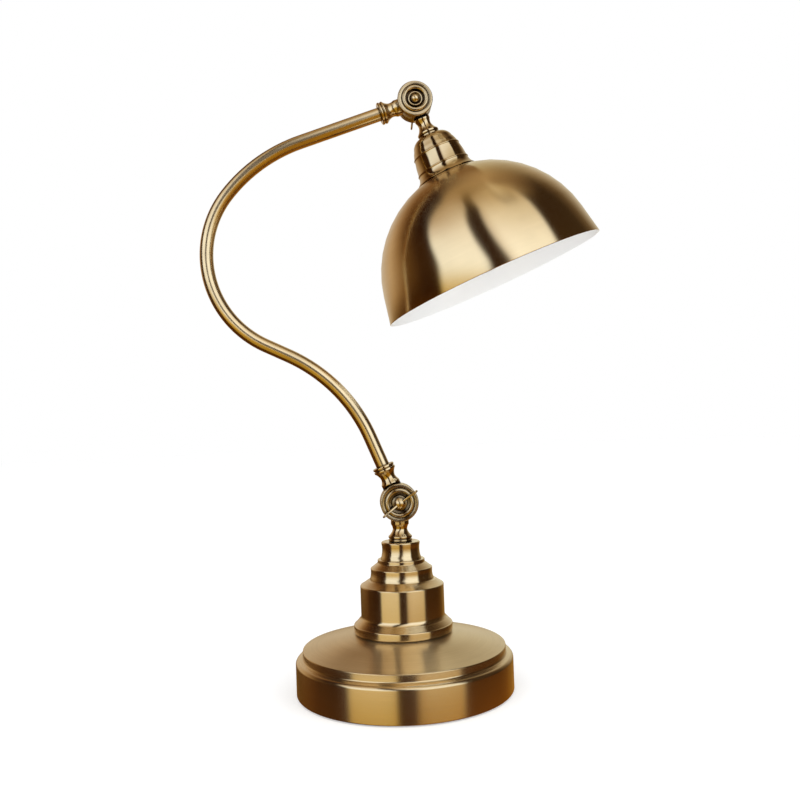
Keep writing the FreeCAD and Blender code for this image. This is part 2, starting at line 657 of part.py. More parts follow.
def knuckle(document, d, label, side, radius, bead, neck):
    """One half of a clamped knuckle.

    The joint's axis is the body's own Y axis and the neck runs along its own +Z. side is +1 for
    the half behind the joint's middle plane and -1 for the half in front of it. radius is the
    disc's, bead the radius of the ring on its face, and neck the outline of the neck and its bore.
    """
    body = new_body(document, label)
    title = label.title().replace("_", "")
    turn(body, title + "Neck", neck)
    face = d.friction_thickness / 2 + d.turning_gap / 2
    reach = radius + d.relief
    inner = side * (face + d.relief_cut)
    outside = -side * d.disc_thickness * 3
    relief = [(0, outside), (reach, outside), (reach, inner), (0, inner)]
    turn(body, title + "Relief", relief, "XY_Plane", cut=True)
    outer = face + d.disc_thickness
    groove_out = bead + d.groove_width
    bead_in = bead - d.bead_width
    outline = [
        (d.screw_radius + d.thread_play, side * face),
        (radius - d.disc_bevel, side * face),
        (radius, side * (face + d.disc_bevel)),
        (radius, side * (outer - d.disc_bevel)),
        (radius - d.disc_bevel, side * outer),
        (groove_out, side * outer),
        (groove_out - d.groove_width * 0.3, side * (outer - d.groove_depth)),
        (bead, side * (outer - d.groove_depth)),
        (bead, side * outer, outward(d.bead_rise, side)),
        (bead_in, side * outer),
        (bead_in, side * (outer - d.seat_depth)),
        (d.screw_radius + d.thread_play, side * (outer - d.seat_depth)),
    ]
    turn(body, title + "Disc", outline, "XY_Plane")
    return body


def neck_outline(d, disc_radius, root_radius, waist, ring, length, bores):
    """Neck of a knuckle: flared root, waist and a pair of thin rings round a stepped bore."""
    bore, end_bore, end_depth = bores
    start = disc_radius - d.neck_overlap
    root_end = disc_radius + d.relief + d.root_land
    ring_start = length - d.ring_band
    middle = root_end + (ring_start - root_end) * 0.45
    edge = d.ring_edge
    groove_start = ring_start + d.ring_band / 2 - edge * 0.2
    groove_end = groove_start + edge * 0.4
    return [
        (bore, start),
        (root_radius, start),
        (root_radius, root_end, ("left", d.neck_hollow * 0.7)),
        (waist, middle, ("left", d.neck_hollow)),
        (ring - edge, ring_start),
        (ring, ring_start + edge),
        (ring, groove_start - edge),
        (ring - d.ring_groove, groove_start),
        (ring - d.ring_groove, groove_end),
        (ring, groove_end + edge),
        (ring, length - edge),
        (ring - edge, length),
        (end_bore, length),
        (end_bore, length - end_depth),
        (bore, length - end_depth),
    ]


def knuckles(document, d):
    """The four knuckle halves, each turned and set on its joint."""
    tube_hole = d.tube_radius + d.thread_play
    tube_end = (d.wire_bore, tube_hole, d.socket_depth)
    thread_end = (d.wire_bore, d.thread_hole, d.nipple_grip)
    stud = knuckle(document, d, "base_stud", -1, d.low_disc, d.low_bead, neck_outline(
        d, d.low_disc, d.stud_root, d.stud_waist, d.stud_ring, d.stud_length, thread_end))
    stand(stud, z=d.joint_height, turn_angle=180)
    foot = knuckle(document, d, "arm_foot", 1, d.low_disc, d.low_bead, neck_outline(
        d, d.low_disc, d.foot_root, d.foot_waist, d.foot_ring, d.foot_length, tube_end))
    stand(foot, z=d.joint_height, turn_angle=-d.arm_lean)
    tip = knuckle(document, d, "arm_tip", -1, d.top_disc, d.top_bead, neck_outline(
        d, d.top_disc, d.tip_root, d.tip_waist, d.tip_ring, d.tip_length, tube_end))
    stand(tip, d.upper_x, 0, d.upper_z, d.tip_turn)
    neck = knuckle(document, d, "shade_neck", 1, d.top_disc, d.top_bead, neck_outline(
        d, d.top_disc, d.neck_root, d.neck_waist, d.neck_ring, d.neck_length, thread_end))
    stand(neck, d.upper_x, 0, d.upper_z, d.shade_turn)


def friction_washers(document, d):
    """Fibre washers between the discs, lying on the half that they stay with."""
    for label, radius, x, z in (
            ("lower_washer", d.low_disc, as_size(0), d.joint_height),
            ("upper_washer", d.top_disc, d.upper_x, d.upper_z)):
        front = -(d.friction_thickness / 2 + d.turning_gap / 2)
        hole = d.screw_radius + d.thread_play
        outline = tube_outline(hole, radius - d.washer_margin, front, front + d.friction_thickness)
        body = turned_body(document, label, outline, "XY_Plane")
        stand(body, x, 0, z)


def dome_radius(reach, rise):
    """Radius of the ball whose cap of this rise has this reach at its edge."""
    return (reach * reach + rise * rise) / (2 * rise)


def wing_screw(document, d, label, side):
    """Wing screw on the joint's axis: shank, flange, domed head and two flat wings."""
    body = new_body(document, label)
    title = label.title().replace("_", "")
    face = d.friction_thickness / 2 + d.turning_gap / 2
    outer = face + d.disc_thickness
    seat = outer - d.seat_depth + d.turning_gap / 2
    inner = outer + d.bead_rise + d.wing_clearance
    neck_top = inner + d.wing_root * 0.4
    tail = -(outer - d.seat_depth + d.screw_tail)
    outline = [
        (0, side * tail),
        (d.screw_radius, side * tail),
        (d.screw_radius, side * seat),
        (d.head_flange, side * seat),
        (d.head_flange, side * (seat + d.flange_height)),
        (d.head_dome, side * (seat + d.flange_height)),
        (d.head_dome, side * neck_top, ("radius", dome_radius(d.head_dome, d.dome_rise), side > 0)),
        (0, side * (neck_top + d.dome_rise)),
    ]
    turn(body, title + "Body", outline, "XY_Plane")
    sketch = new_sketch(body, title + "WingOutline", "XY_Plane")
    root_x = d.head_dome * 0.6
    low_x = d.wing_span / 2 - d.wing_tip * 0.9
    high_x = d.wing_span / 2 - d.wing_tip * 1.5
    root_top = side * (inner + d.wing_root)
    tip_low = side * (inner + d.wing_reach * 0.35)
    tip_high = side * (inner + d.wing_reach)
    belly = outward(d.wing_curve, side)
    tip = outward(d.wing_tip, side)
    hollow = outward(d.wing_curve, -side)
    draw(sketch, [
        (-root_x, side * inner),
        (root_x, side * inner, belly),
        (low_x, tip_low, tip),
        (high_x, tip_high, hollow),
        (root_x, root_top),
        (-root_x, root_top, hollow),
        (-high_x, tip_high, tip),
        (-low_x, tip_low, belly),
    ])
    pad = body.newObject("PartDesign::Pad", title + "Wings")
    pad.Profile = sketch
    pad.SideType = "Symmetric"
    pad.setExpression("Length", d.wing_thickness.text)
    return body


def cap_nut(document, d, label, side):
    """Blind nut in the other disc's recess: flange ring, groove and small dome."""
    face = d.friction_thickness / 2 + d.turning_gap / 2
    outer = face + d.disc_thickness
    seat = outer - d.seat_depth
    hole_end = seat + d.screw_tail + d.tail_room
    ring_top = outer - d.cap_ring_drop
    outline = [
        (0, side * hole_end),
        (d.screw_radius + d.thread_play, side * hole_end),
        (d.screw_radius + d.thread_play, side * seat),
        (d.head_flange, side * seat),
        (d.head_flange, side * ring_top, outward(d.cap_ring_width * 0.25, side)),
        (d.head_flange - d.cap_ring_width, side * ring_top),
        (d.cap_dome, side * (ring_top - d.cap_groove)),
        (d.cap_dome, side * outer, ("radius", dome_radius(d.cap_dome, d.cap_rise), side > 0)),
        (0, side * (outer + d.cap_rise)),
    ]
    return turned_body(document, label, outline, "XY_Plane")


def clamp_hardware(document, d):
    """Wing screw and cap nut of each joint; the lower wings face forward, the upper ones back."""
    lower = wing_screw(document, d, "lower_wing_screw", -1)
    stand(lower, z=d.joint_height, turn_angle=-d.low_wing_angle)
    upper = wing_screw(document, d, "upper_wing_screw", 1)
    stand(upper, d.upper_x, 0, d.upper_z, -d.top_wing_angle)
    lower_nut = cap_nut(document, d, "lower_cap_nut", 1)
    stand(lower_nut, z=d.joint_height)
    upper_nut = cap_nut(document, d, "upper_cap_nut", -1)
    stand(upper_nut, d.upper_x, 0, d.upper_z)


# ---------------------------------------------------------------- arm


def derive_arm(d):
    """Ends of the arm's runs and bends in the arm's own frame, and the upper joint's place.

    The arm's frame has its origin on the lower joint's axis and its Z axis along the foot.
    A heading is the angle from that Z axis towards -X.
    """
    first = d.lower_bend_angle
    second = first - d.main_bend_angle
    third = second - d.upper_bend_angle
    d.place("heading_one", first)
    d.place("heading_two", second)
    d.place("heading_three", third)
    d.place("bend_one_x", d.lower_bend_radius * (cosine(d.heading_one) - 1))
    d.place("bend_one_z", d.lower_run + d.lower_bend_radius * sine(d.heading_one))
    d.place("run_two_x", d.bend_one_x - d.middle_run * sine(d.heading_one))
    d.place("run_two_z", d.bend_one_z + d.middle_run * cosine(d.heading_one))
    main = d.main_bend_radius
    easing = d.upper_bend_radius
    d.place("bend_two_x", d.run_two_x + main * (cosine(d.heading_one) - cosine(d.heading_two)))
    d.place("bend_two_z", d.run_two_z + main * (sine(d.heading_one) - sine(d.heading_two)))
    d.place("bend_three_x", d.bend_two_x + easing * (cosine(d.heading_two) - cosine(d.heading_three)))
    d.place("bend_three_z", d.bend_two_z + easing * (sine(d.heading_two) - sine(d.heading_three)))
    d.place("arm_end_x", d.bend_three_x - d.upper_run * sine(d.heading_three))
    d.place("arm_end_z", d.bend_three_z + d.upper_run * cosine(d.heading_three))
    d.place("upper_x", d.arm_end_x * cosine(d.arm_lean) - d.arm_end_z * sine(d.arm_lean))
    d.place("upper_z", d.joint_height + d.arm_end_x * sine(d.arm_lean) + d.arm_end_z * cosine(d.arm_lean))
    d.place("tip_turn", 180 - d.heading_three - d.arm_lean)
    d.place("shade_turn", 180 - d.shade_tilt)


def arm_tube(document, d):
    """Bent tube: two straight ends, an easy bend, the main bend and an easing bend."""
    body = new_body(document, "arm_tube")
    start = d.foot_length - d.socket_depth
    last = d.upper_run - d.tip_length + d.socket_depth
    end_x = d.bend_three_x - last * sine(d.heading_three)
    end_z = d.bend_three_z + last * cosine(d.heading_three)
    spine = new_sketch(body, "ArmLine", "XZ_Plane")
    draw(spine, [
        (0, start),
        (0, d.lower_run, ("radius", d.lower_bend_radius, True)),
        (d.bend_one_x, d.bend_one_z),
        (d.run_two_x, d.run_two_z, ("radius", d.main_bend_radius, False)),
        (d.bend_two_x, d.bend_two_z, ("radius", d.upper_bend_radius, False)),
        (d.bend_three_x, d.bend_three_z),
        (end_x, end_z),
    ], closed=False)
    section = new_sketch(body, "TubeSection", "XY_Plane")
    section.setExpression("AttachmentOffset.Base.z", start.text)
    add_circle(section, d.tube_radius)
    add_circle(section, d.tube_radius - d.tube_wall)
    document.recompute()
    pipe = body.newObject("PartDesign::AdditivePipe", "Tube")
    pipe.Profile = section
    pipe.Spine = (spine, ["Edge%d" % number for number in range(1, 7)])
    stand(body, z=d.joint_height, turn_angle=-d.arm_lean)
    return body


# ---------------------------------------------------------------- head


def derive_head(d):
    """Distances along the shade's axis from the upper joint's axis.

    The cup hangs from the neck, the dome sits under the cup's rim, and the lampholder's collar
    sits inside the dome, so the shade, lampholder and bulb follow the cup's length.
    """
    d.place("cup_top", d.neck_length)
    d.place("cup_rim", d.cup_top + d.cup_length)
    seat = d.cup_rim_radius - d.cup_wall
    d.place("dome_centre", d.cup_rim + d.cup_seat_gap + root(d.dome_radius * d.dome_radius - seat * seat))
    d.place("rim_distance", d.dome_centre + d.dome_lift)
    d.place("dome_inside", d.dome_radius - d.shade_wall)
    d.place("hole_edge", d.dome_centre - root(d.dome_radius * d.dome_radius - d.shade_hole * d.shade_hole))
    d.place("collar_low", d.hole_edge - d.cup_seat_gap)
    d.place("body_top", d.collar_low - d.holder_body_length)
    d.place("holder_top", d.body_top - d.holder_cap_height)
    d.place("insert_low", d.body_top + d.insert_height)
    d.place("bulb_top", d.insert_low + d.tongue_rise + d.contact_gap)
    inner_edge = d.dome_inside * d.dome_inside - d.ring_nut_radius * d.ring_nut_radius
    d.place("ring_top", d.dome_centre - root(inner_edge) + d.cup_seat_gap)


def shade(document, d):
    """Spun shade: a dome that runs on into a straight flared skirt, with a central hole."""
    out_x = d.dome_radius * cosine(d.skirt_lean)
    out_z = d.dome_centre - d.dome_radius * sine(d.skirt_lean)
    in_x = d.dome_inside * cosine(d.skirt_lean)
    in_z = d.dome_centre - d.dome_inside * sine(d.skirt_lean)
    flare = sine(d.skirt_lean) / cosine(d.skirt_lean)
    rim_out = out_x + (d.rim_distance - out_z) * flare
    rim_in = in_x + (d.rim_distance - in_z) * flare
    hole_in = d.dome_centre - root(d.dome_inside * d.dome_inside - d.shade_hole * d.shade_hole)
    outline = [
        (d.shade_hole, hole_in),
        (d.shade_hole, d.hole_edge, ("radius", d.dome_radius, True)),
        (out_x, out_z),
        (rim_out, d.rim_distance),
        (rim_in, d.rim_distance),
        (in_x, in_z, ("radius", d.dome_inside, False)),
    ]
    return head_body(document, "shade", outline, d)


def head_body(document, label, outline, d):
    body = turned_body(document, label, outline)
    stand(body, d.upper_x, 0, d.upper_z, d.shade_turn)
    return body


def socket_cup(document, d):
    """Spun cup over the lampholder: round shoulder, two beads and a flared rim on the dome."""
    top = d.cup_top
    wall = d.cup_wall
    shoulder = top + d.cup_shoulder_drop
    upper = top + d.cup_upper_bead
    lower = top + d.cup_lower_bead
    half = d.cup_bead_width / 2
    outline = [
        (d.thread_hole, top + wall),
        (d.thread_hole, top),
        (d.cup_top_radius, top, d.cup_shoulder_bulge),
        (d.cup_shoulder_radius, shoulder, d.cup_side_bulge),
        (d.cup_side_radius, upper - half, d.cup_bead),
        (d.cup_side_radius + d.cup_bead_step, upper + half, d.cup_side_bulge),
        (d.cup_mouth_radius, lower - half, d.cup_bead),
        (d.cup_mouth_radius + d.cup_bead_step, lower + half, ("left", d.cup_flare)),
        (d.cup_rim_radius, d.cup_rim - wall * 0.6),
        (d.cup_rim_radius - wall, d.cup_rim, d.cup_flare * 0.8),
        (d.cup_mouth_radius + d.cup_bead_step - wall, lower + half + wall * 0.4),
        (d.cup_mouth_radius - wall, lower - half),
        (d.cup_side_radius - wall, upper),
        (d.cup_shoulder_radius - wall, shoulder + wall * 0.4, ("left", d.cup_shoulder_bulge * 0.8)),
        (d.cup_top_radius - wall * 0.4, top + wall),
    ]
    return head_body(document, "socket_cup", outline, d)


def head_fixings(document, d):
    """Threaded tube and nut that hold the cup to the neck and carry the lampholder."""
    start = d.neck_length - d.nipple_grip
    end = d.body_top - d.thread_end
    head_body(document, "head_nipple", tube_outline(d.nipple_bore, d.nipple_radius, start, end), d)
    nut = hex_nut(document, "head_nut", d.thread_hole, d.nut_width, d.nut_height)
    reach = d.cup_top + d.cup_wall
    nut_x = d.upper_x + reach * sine(d.shade_tilt)
    nut_z = d.upper_z - reach * cosine(d.shade_tilt)
    stand(nut, nut_x, 0, nut_z, d.shade_turn)


def lampholder(document, d):
    """Lampholder: cap on the threaded tube, skirted body, contact block and screw shell."""
    slope = d.holder_cap_slope
    cap_inner = d.holder_cap_radius - d.holder_cap_wall
    floor = d.body_top - d.thread_end
    cap = [
        (d.thread_hole, d.holder_top),
        (d.holder_cap_radius - slope, d.holder_top, ("left", slope * QUARTER_ROUND)),
        (d.holder_cap_radius, d.holder_top + slope),
        (d.holder_cap_radius, d.body_top),
        (cap_inner, d.body_top),
        (cap_inner, floor),
        (d.thread_hole, floor),
    ]
    head_body(document, "holder_cap", cap, d)
    collar_top = d.collar_low - d.holder_collar_height
    skirt_end = d.collar_low + d.holder_skirt
    body_outer = d.holder_bore + d.holder_wall
    skirt = [
        (d.holder_bore, d.body_top),
        (body_outer, d.body_top),
        (body_outer, collar_top - d.holder_collar_slope),
        (d.holder_collar, collar_top),
        (d.holder_collar, d.collar_low),
        (d.holder_radius, d.collar_low),
        (d.holder_radius, skirt_end - d.skirt_bevel),
        (d.holder_radius - d.skirt_bevel, skirt_end),
        (d.holder_bore, skirt_end),
    ]
    head_body(document, "holder_body", skirt, d)
    block_radius = d.holder_bore - d.thread_play
    block = tube_outline(as_size(0), block_radius, d.body_top, d.insert_low)
    head_body(document, "contact_block", block, d)
    tongue_end = d.insert_low + d.tongue_rise
    tongue = [
        (0, d.insert_low),
        (d.tongue_radius, d.insert_low),
        (d.tongue_radius, d.insert_low + d.tongue_foot),
        (d.tongue_tip, tongue_end),
        (0, tongue_end),
    ]
    head_body(document, "centre_contact", tongue, d)
    shell_end = d.insert_low + d.shell_length
    shell = tube_outline(d.shell_radius - d.shell_wall, d.shell_radius, d.insert_low, shell_end)
    head_body(document, "screw_shell", shell, d)


def shade_ring(document, d):
    """Ring nut on the lampholder's skirt; its upper edge presses the shade to the collar."""
    bore = d.holder_radius + d.thread_play
    low = d.ring_top + d.ring_nut_height
    grip = d.ring_nut_radius - d.ring_nut_step
    flange = d.ring_top + d.ring_nut_flange
    outline = [
        (bore, d.ring_top),
        (d.ring_nut_radius, d.ring_top),
        (d.ring_nut_radius, flange),
        (grip, flange + d.ring_nut_bevel),
        (grip, low - d.ring_nut_bevel),
        (grip - d.ring_nut_bevel, low),
        (bore, low),
    ]
    return head_body(document, "shade_ring", outline, d)


def bulb(document, d):
    """Bulb: screw cap with its foot contact, and a pear-shaped glass."""
    top = d.bulb_top
    cap_end = top + d.bulb_cap_length
    end = top + d.bulb_length
    middle = end - d.bulb_radius
    foot = top + d.bulb_foot_height
    contact = [
        (0, top),
        (d.bulb_contact_radius, top),
        (d.bulb_contact_radius, top + d.bulb_contact_height),
        (d.bulb_foot_radius, foot),
        (0, foot),
    ]
    head_body(document, "bulb_contact", contact, d)
    cap = [
        (0, foot),
        (d.bulb_foot_radius, foot),
        (d.bulb_cap_radius, foot + d.bulb_cap_slope),
        (d.bulb_cap_radius, cap_end),
        (0, cap_end),
    ]
    head_body(document, "bulb_cap", cap, d)
    wall = d.bulb_wall
    throat = cap_end + d.bulb_throat_drop
    flare = d.bulb_flare
    glass = [
        (d.bulb_neck - wall, cap_end),
        (d.bulb_neck, cap_end, ("left", flare)),
        (d.bulb_throat, throat, flare),
        (d.bulb_radius, middle, ("radius", d.bulb_radius, True)),
        (0, end),
        (0, end - wall, ("radius", d.bulb_radius - wall, False)),
        (d.bulb_radius - wall, middle, ("left", flare)),
        (d.bulb_throat - wall, throat, flare),
    ]
    head_body(document, "bulb_glass", glass, d)


# ---------------------------------------------------------------- document


def build():
    document = FreeCAD.newDocument("DomeShadeDeskLamp")
    d = Sheet(document)
    derive_base(d)
    derive_arm(d)
    derive_head(d)
    document.recompute()
    base_cover(document, d)
    base_weight(document, d)
    base_pad(document, d)
    pedestal_column(document, d)
    pedestal_shoulder(document, d)
    pedestal_cap(document, d)
    base_fixings(document, d)
    inlet_bush(document, d)
    knuckles(document, d)
    friction_washers(document, d)
    clamp_hardware(document, d)
    arm_tube(document, d)
    shade(document, d)
    socket_cup(document, d)
    head_fixings(document, d)
    lampholder(document, d)
    shade_ring(document, d)
    bulb(document, d)
    document.recompute()
    return document


def check(document):
    """Stop on any failed feature, or a body without one or more valid solids."""
    for item in document.Objects:
        if "Invalid" in item.State or "Error" in item.State:
            raise RuntimeError("%s failed: %s" % (item.Label, item.State))
    for body in document.findObjects("PartDesign::Body"):
        if body.Shape.isNull() or not body.Shape.isValid() or not body.Shape.Solids:
            raise RuntimeError("%s has no valid solid" % body.Label)


def export(document):
    os.makedirs("parts", exist_ok=True)
    for body in document.findObjects("PartDesign::Body"):
        body.Shape.exportStep("parts/%s.step" % body.Label)


lamp = build()
check(lamp)
export(lamp)
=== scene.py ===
"""Dome shade desk lamp of brushed antique brass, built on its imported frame, with a plain studio.

Metres and radians. +Z is up, +X is the side the shade hangs over, and the arm lies in the XZ
plane. Outlines of turned pieces are (radius, height) in millimetres, in the piece's own frame.
"""
import json
import math

import bpy
from mathutils import Matrix, Vector


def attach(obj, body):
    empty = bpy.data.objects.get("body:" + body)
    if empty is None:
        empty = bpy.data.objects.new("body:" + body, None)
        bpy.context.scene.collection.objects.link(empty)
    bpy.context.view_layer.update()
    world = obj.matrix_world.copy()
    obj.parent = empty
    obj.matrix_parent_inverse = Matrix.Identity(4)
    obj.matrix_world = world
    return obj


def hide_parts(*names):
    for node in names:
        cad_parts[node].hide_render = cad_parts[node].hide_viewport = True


bl_info = {
    "name": "Dome Shade Desk Lamp",
    "version": (1, 0, 0),
    "blender": (4, 5, 0),
    "location": "3D View > Sidebar > Desk Lamp",
    "description": "Builds a desk lamp of brushed brass, with a domed shade on a bent tube arm",
    "category": "Object",
}

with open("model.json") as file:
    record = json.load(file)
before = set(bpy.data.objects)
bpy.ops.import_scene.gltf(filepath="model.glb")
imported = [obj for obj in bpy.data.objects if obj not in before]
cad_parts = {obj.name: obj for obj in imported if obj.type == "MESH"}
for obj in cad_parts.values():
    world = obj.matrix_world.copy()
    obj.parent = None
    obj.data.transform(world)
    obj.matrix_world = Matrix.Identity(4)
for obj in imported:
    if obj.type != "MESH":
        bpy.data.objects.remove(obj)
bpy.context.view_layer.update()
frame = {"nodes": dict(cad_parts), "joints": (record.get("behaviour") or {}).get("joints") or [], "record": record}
MM = 0.001
SHARP = math.radians(30)
ALONG_Y = (-math.pi / 2, 0, 0)


def joint_place(name):
    """Where a joint of the frame is, in metres."""
    return Vector(next(joint["pos_m"] for joint in frame["joints"] if joint["name"] == name))


LOWER_JOINT = joint_place("arm_tilt")
UPPER_JOINT = joint_place("shade_tilt")

# Millimetres, shared by several pieces.
FACE = 0.5  # a disc's inner face, from the knuckle's middle plane
OUTER = 9.9  # a disc's outer face
SEAT = 6.7  # floor of the recess in a disc
SCREW_RADIUS = 3.0
SCREW_HOLE = 3.05
FLANGE_RADIUS = 6.4  # flange of a wing screw, and a cap nut
THREAD_HOLE = 5.05  # hole for a threaded tube
TUBE_SOCKET = 5.95
NECK_BORE = 3.2
DOME_CENTRE = 165.212  # of the shade, from the upper joint along the shade's axis
RIM = 172.612  # of the shade, measured the same way
SHADE_HOLE = 20.4


# ---------------------------------------------------------------- properties


class LampSizes(bpy.types.PropertyGroup):
    """Sizes that a user would change."""

    steps: bpy.props.IntProperty(
        name="Steps", description="Faces round a turned piece", default=144, min=24, max=256)
    softness: bpy.props.FloatProperty(
        name="Edge softness", description="Width of the bevel on turned edges",
        default=0.00025, min=0, unit="LENGTH")
    arm_lean: bpy.props.FloatProperty(
        name="Arm lean", description="Lean of the arm's foot from the vertical",
        default=math.radians(22), subtype="ANGLE")
    shade_tilt: bpy.props.FloatProperty(
        name="Shade tilt", description="Lean of the shade's axis from the vertical",
        default=math.radians(22), subtype="ANGLE")
    tube_radius: bpy.props.FloatProperty(
        name="Tube radius", description="Outside radius of the arm's tube",
        default=0.0059, unit="LENGTH")
    dome_radius: bpy.props.FloatProperty(
        name="Dome radius", description="Outside radius of the shade's dome",
        default=0.0967, unit="LENGTH")
    shade_wall: bpy.props.FloatProperty(
        name="Shade wall", description="Thickness of the shade",
        default=0.001, unit="LENGTH")


class LampFinish(bpy.types.PropertyGroup):
    """Colours and finish that a user would change."""

    brass: bpy.props.FloatVectorProperty(
        name="Brass", description="Colour of the brushed brass", subtype="COLOR",
        size=3, min=0, max=1, default=(0.84, 0.67, 0.40))
    # Colour of the patina, also used for the painted shade in hollows.
    patina_and_shade: bpy.props.FloatVectorProperty(
        name="Patina", description="Colour of the dark patina in hollows", subtype="COLOR",
        size=3, min=0, max=1, default=(0.035, 0.014, 0.004))
    enamel: bpy.props.FloatVectorProperty(
        name="Enamel", description="Colour of the enamel inside the shade", subtype="COLOR",
        size=3, min=0, max=1, default=(0.94, 0.94, 0.93))
    roughness: bpy.props.FloatProperty(
        name="Roughness", description="Roughness of brass; each piece has its own share of it",
        default=0.2, min=0, max=1, subtype="FACTOR")
    anisotropy: bpy.props.FloatProperty(
        name="Brushing", description="How far reflections spread across the brushed lines",
        default=0.85, min=0, max=1, subtype="FACTOR")


class LampStudio(bpy.types.PropertyGroup):
    """Light levels of the studio."""

    fill: bpy.props.FloatProperty(
        name="Fill", description="Level of the light from all round", default=0.75, min=0)
    key: bpy.props.FloatProperty(
        name="Key", description="Power of each soft light in watts", default=5.0, min=0)


# ---------------------------------------------------------------- modelling helpers


def clear_selection():
    """Leave edit mode and deselect everything."""
    if bpy.context.mode != "OBJECT":
        bpy.ops.object.mode_set(mode="OBJECT")
    bpy.ops.object.select_all(action="DESELECT")


def activate(piece):
    """Select one piece alone."""
    clear_selection()
    piece.select_set(True)
    bpy.context.view_layer.objects.active = piece


def arc_points(first, second, bulge, turn=math.radians(8)):
    """Points after first and up to second on the arc that stands out from its chord by bulge.

    A positive bulge stands out to the right of the way, a negative one to its left.
    """
    start, end = Vector(first), Vector(second)
    chord = end - start
    half = chord.length / 2
    angle = 4 * math.atan2(abs(bulge), half)
    count = max(2, math.ceil(angle / turn))
    aside = Vector((chord.y, -chord.x)).normalized() * (1 if bulge > 0 else -1)
    radius = (half * half + bulge * bulge) / (2 * abs(bulge))
    centre = (start + end) / 2 + aside * (abs(bulge) - radius)
    spoke = start - centre
    sweep = angle if bulge > 0 else -angle
    points = []
    for index in range(1, count + 1):
        part = sweep * index / count
        turned_spoke = Vector((
            spoke.x * math.cos(part) - spoke.y * math.sin(part),
            spoke.x * math.sin(part) + spoke.y * math.cos(part)))
        points.append(tuple(centre + turned_spoke))
    points[-1] = tuple(second)
    return points


def outline_points(corners):
    """All points of a closed outline from corners of radius, height and, for an arc, bulge."""
    points = [tuple(corners[0][:2])]
    for index, corner in enumerate(corners):
        after = corners[(index + 1) % len(corners)]
        if len(corner) > 2:
            points += arc_points(corner[:2], after[:2], corner[2])
        else:
            points.append(tuple(after[:2]))
    if points[0][0] == 0 and points[-2][0] == 0:
        points.pop()
    return points


def cap_bulge(radius, first, second):
    """Bulge of the arc of this radius between two points."""
    half = math.dist(first, second) / 2
    return radius - math.sqrt(radius * radius - half * half)


def trace(name, points):
    """An edge chain in the XZ plane through the points, given in millimetres."""
    clear_selection()
    bpy.ops.mesh.primitive_plane_add(size=MM)
    piece = bpy.context.object
    piece.name = name
    piece.data.name = name
    bpy.ops.object.mode_set(mode="EDIT")
    bpy.ops.mesh.select_all(action="SELECT")
    bpy.ops.mesh.merge(type="CENTER")
    bpy.ops.transform.translate(value=(points[0][0] * MM, 0, points[0][1] * MM))
    for before, after in zip(points, points[1:]):
        step = ((after[0] - before[0]) * MM, 0, (after[1] - before[1]) * MM)
        bpy.ops.mesh.extrude_vertices_move(TRANSFORM_OT_translate={"value": step})
    bpy.ops.mesh.select_all(action="SELECT")
    bpy.ops.mesh.remove_doubles(threshold=1e-7)
    return piece


def turned(name, corners, steps=None, soft=True):
    """Spin a closed outline about the Z axis and soften its corners."""
    sizes = bpy.context.scene.lamp_sizes
    piece = trace(name, outline_points(corners))
    bpy.ops.mesh.select_all(action="SELECT")
    bpy.ops.mesh.spin(steps=steps or sizes.steps, angle=math.tau, center=(0, 0, 0), axis=(0, 0, 1))
    bpy.ops.mesh.select_all(action="SELECT")
    bpy.ops.mesh.remove_doubles(threshold=2e-7)
    bpy.ops.mesh.normals_make_consistent(inside=False)
    bpy.ops.object.mode_set(mode="OBJECT")
    if soft:
        soften(piece, sizes.softness)
    return piece


def apply_modifier(piece, kind, **settings):
    """Add a modifier with these settings and apply it."""
    activate(piece)
    modifier = piece.modifiers.new(kind.title(), kind)
    for key, value in settings.items():
        setattr(modifier, key, value)
    bpy.ops.object.modifier_apply(modifier=modifier.name)


def soften(piece, width, segments=2):
    """Bevel the sharp edges of a piece."""
    apply_modifier(
        piece, "BEVEL", width=width, segments=segments, limit_method="ANGLE", angle_limit=SHARP,
        use_clamp_overlap=True)


def combine(piece, other, operation="UNION"):
    """Join another piece to this one, or cut it away, and remove it."""
    apply_modifier(
        piece, "BOOLEAN", object=other, operation=operation, solver="EXACT",
        material_mode="TRANSFER")
    bpy.data.objects.remove(other)


def put(piece, place=(0, 0, 0), turn=(0, 0, 0)):
    """Turn a piece, move it, and keep its place in its mesh."""
    activate(piece)
    piece.rotation_euler = turn
    piece.location = place
    bpy.ops.object.transform_apply(location=True, rotation=True, scale=True)
    return piece


def finish(piece, material, body, nodes):
    """Smooth a piece, give it its finish, and let it ride in place of its nodes."""
    activate(piece)
    bpy.ops.object.shade_smooth_by_angle(angle=SHARP)
    if material is not None:
        piece.data.materials.clear()
        piece.data.materials.append(material)
    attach(piece, body)
    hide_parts(*nodes)
    return piece


# ---------------------------------------------------------------- finishes


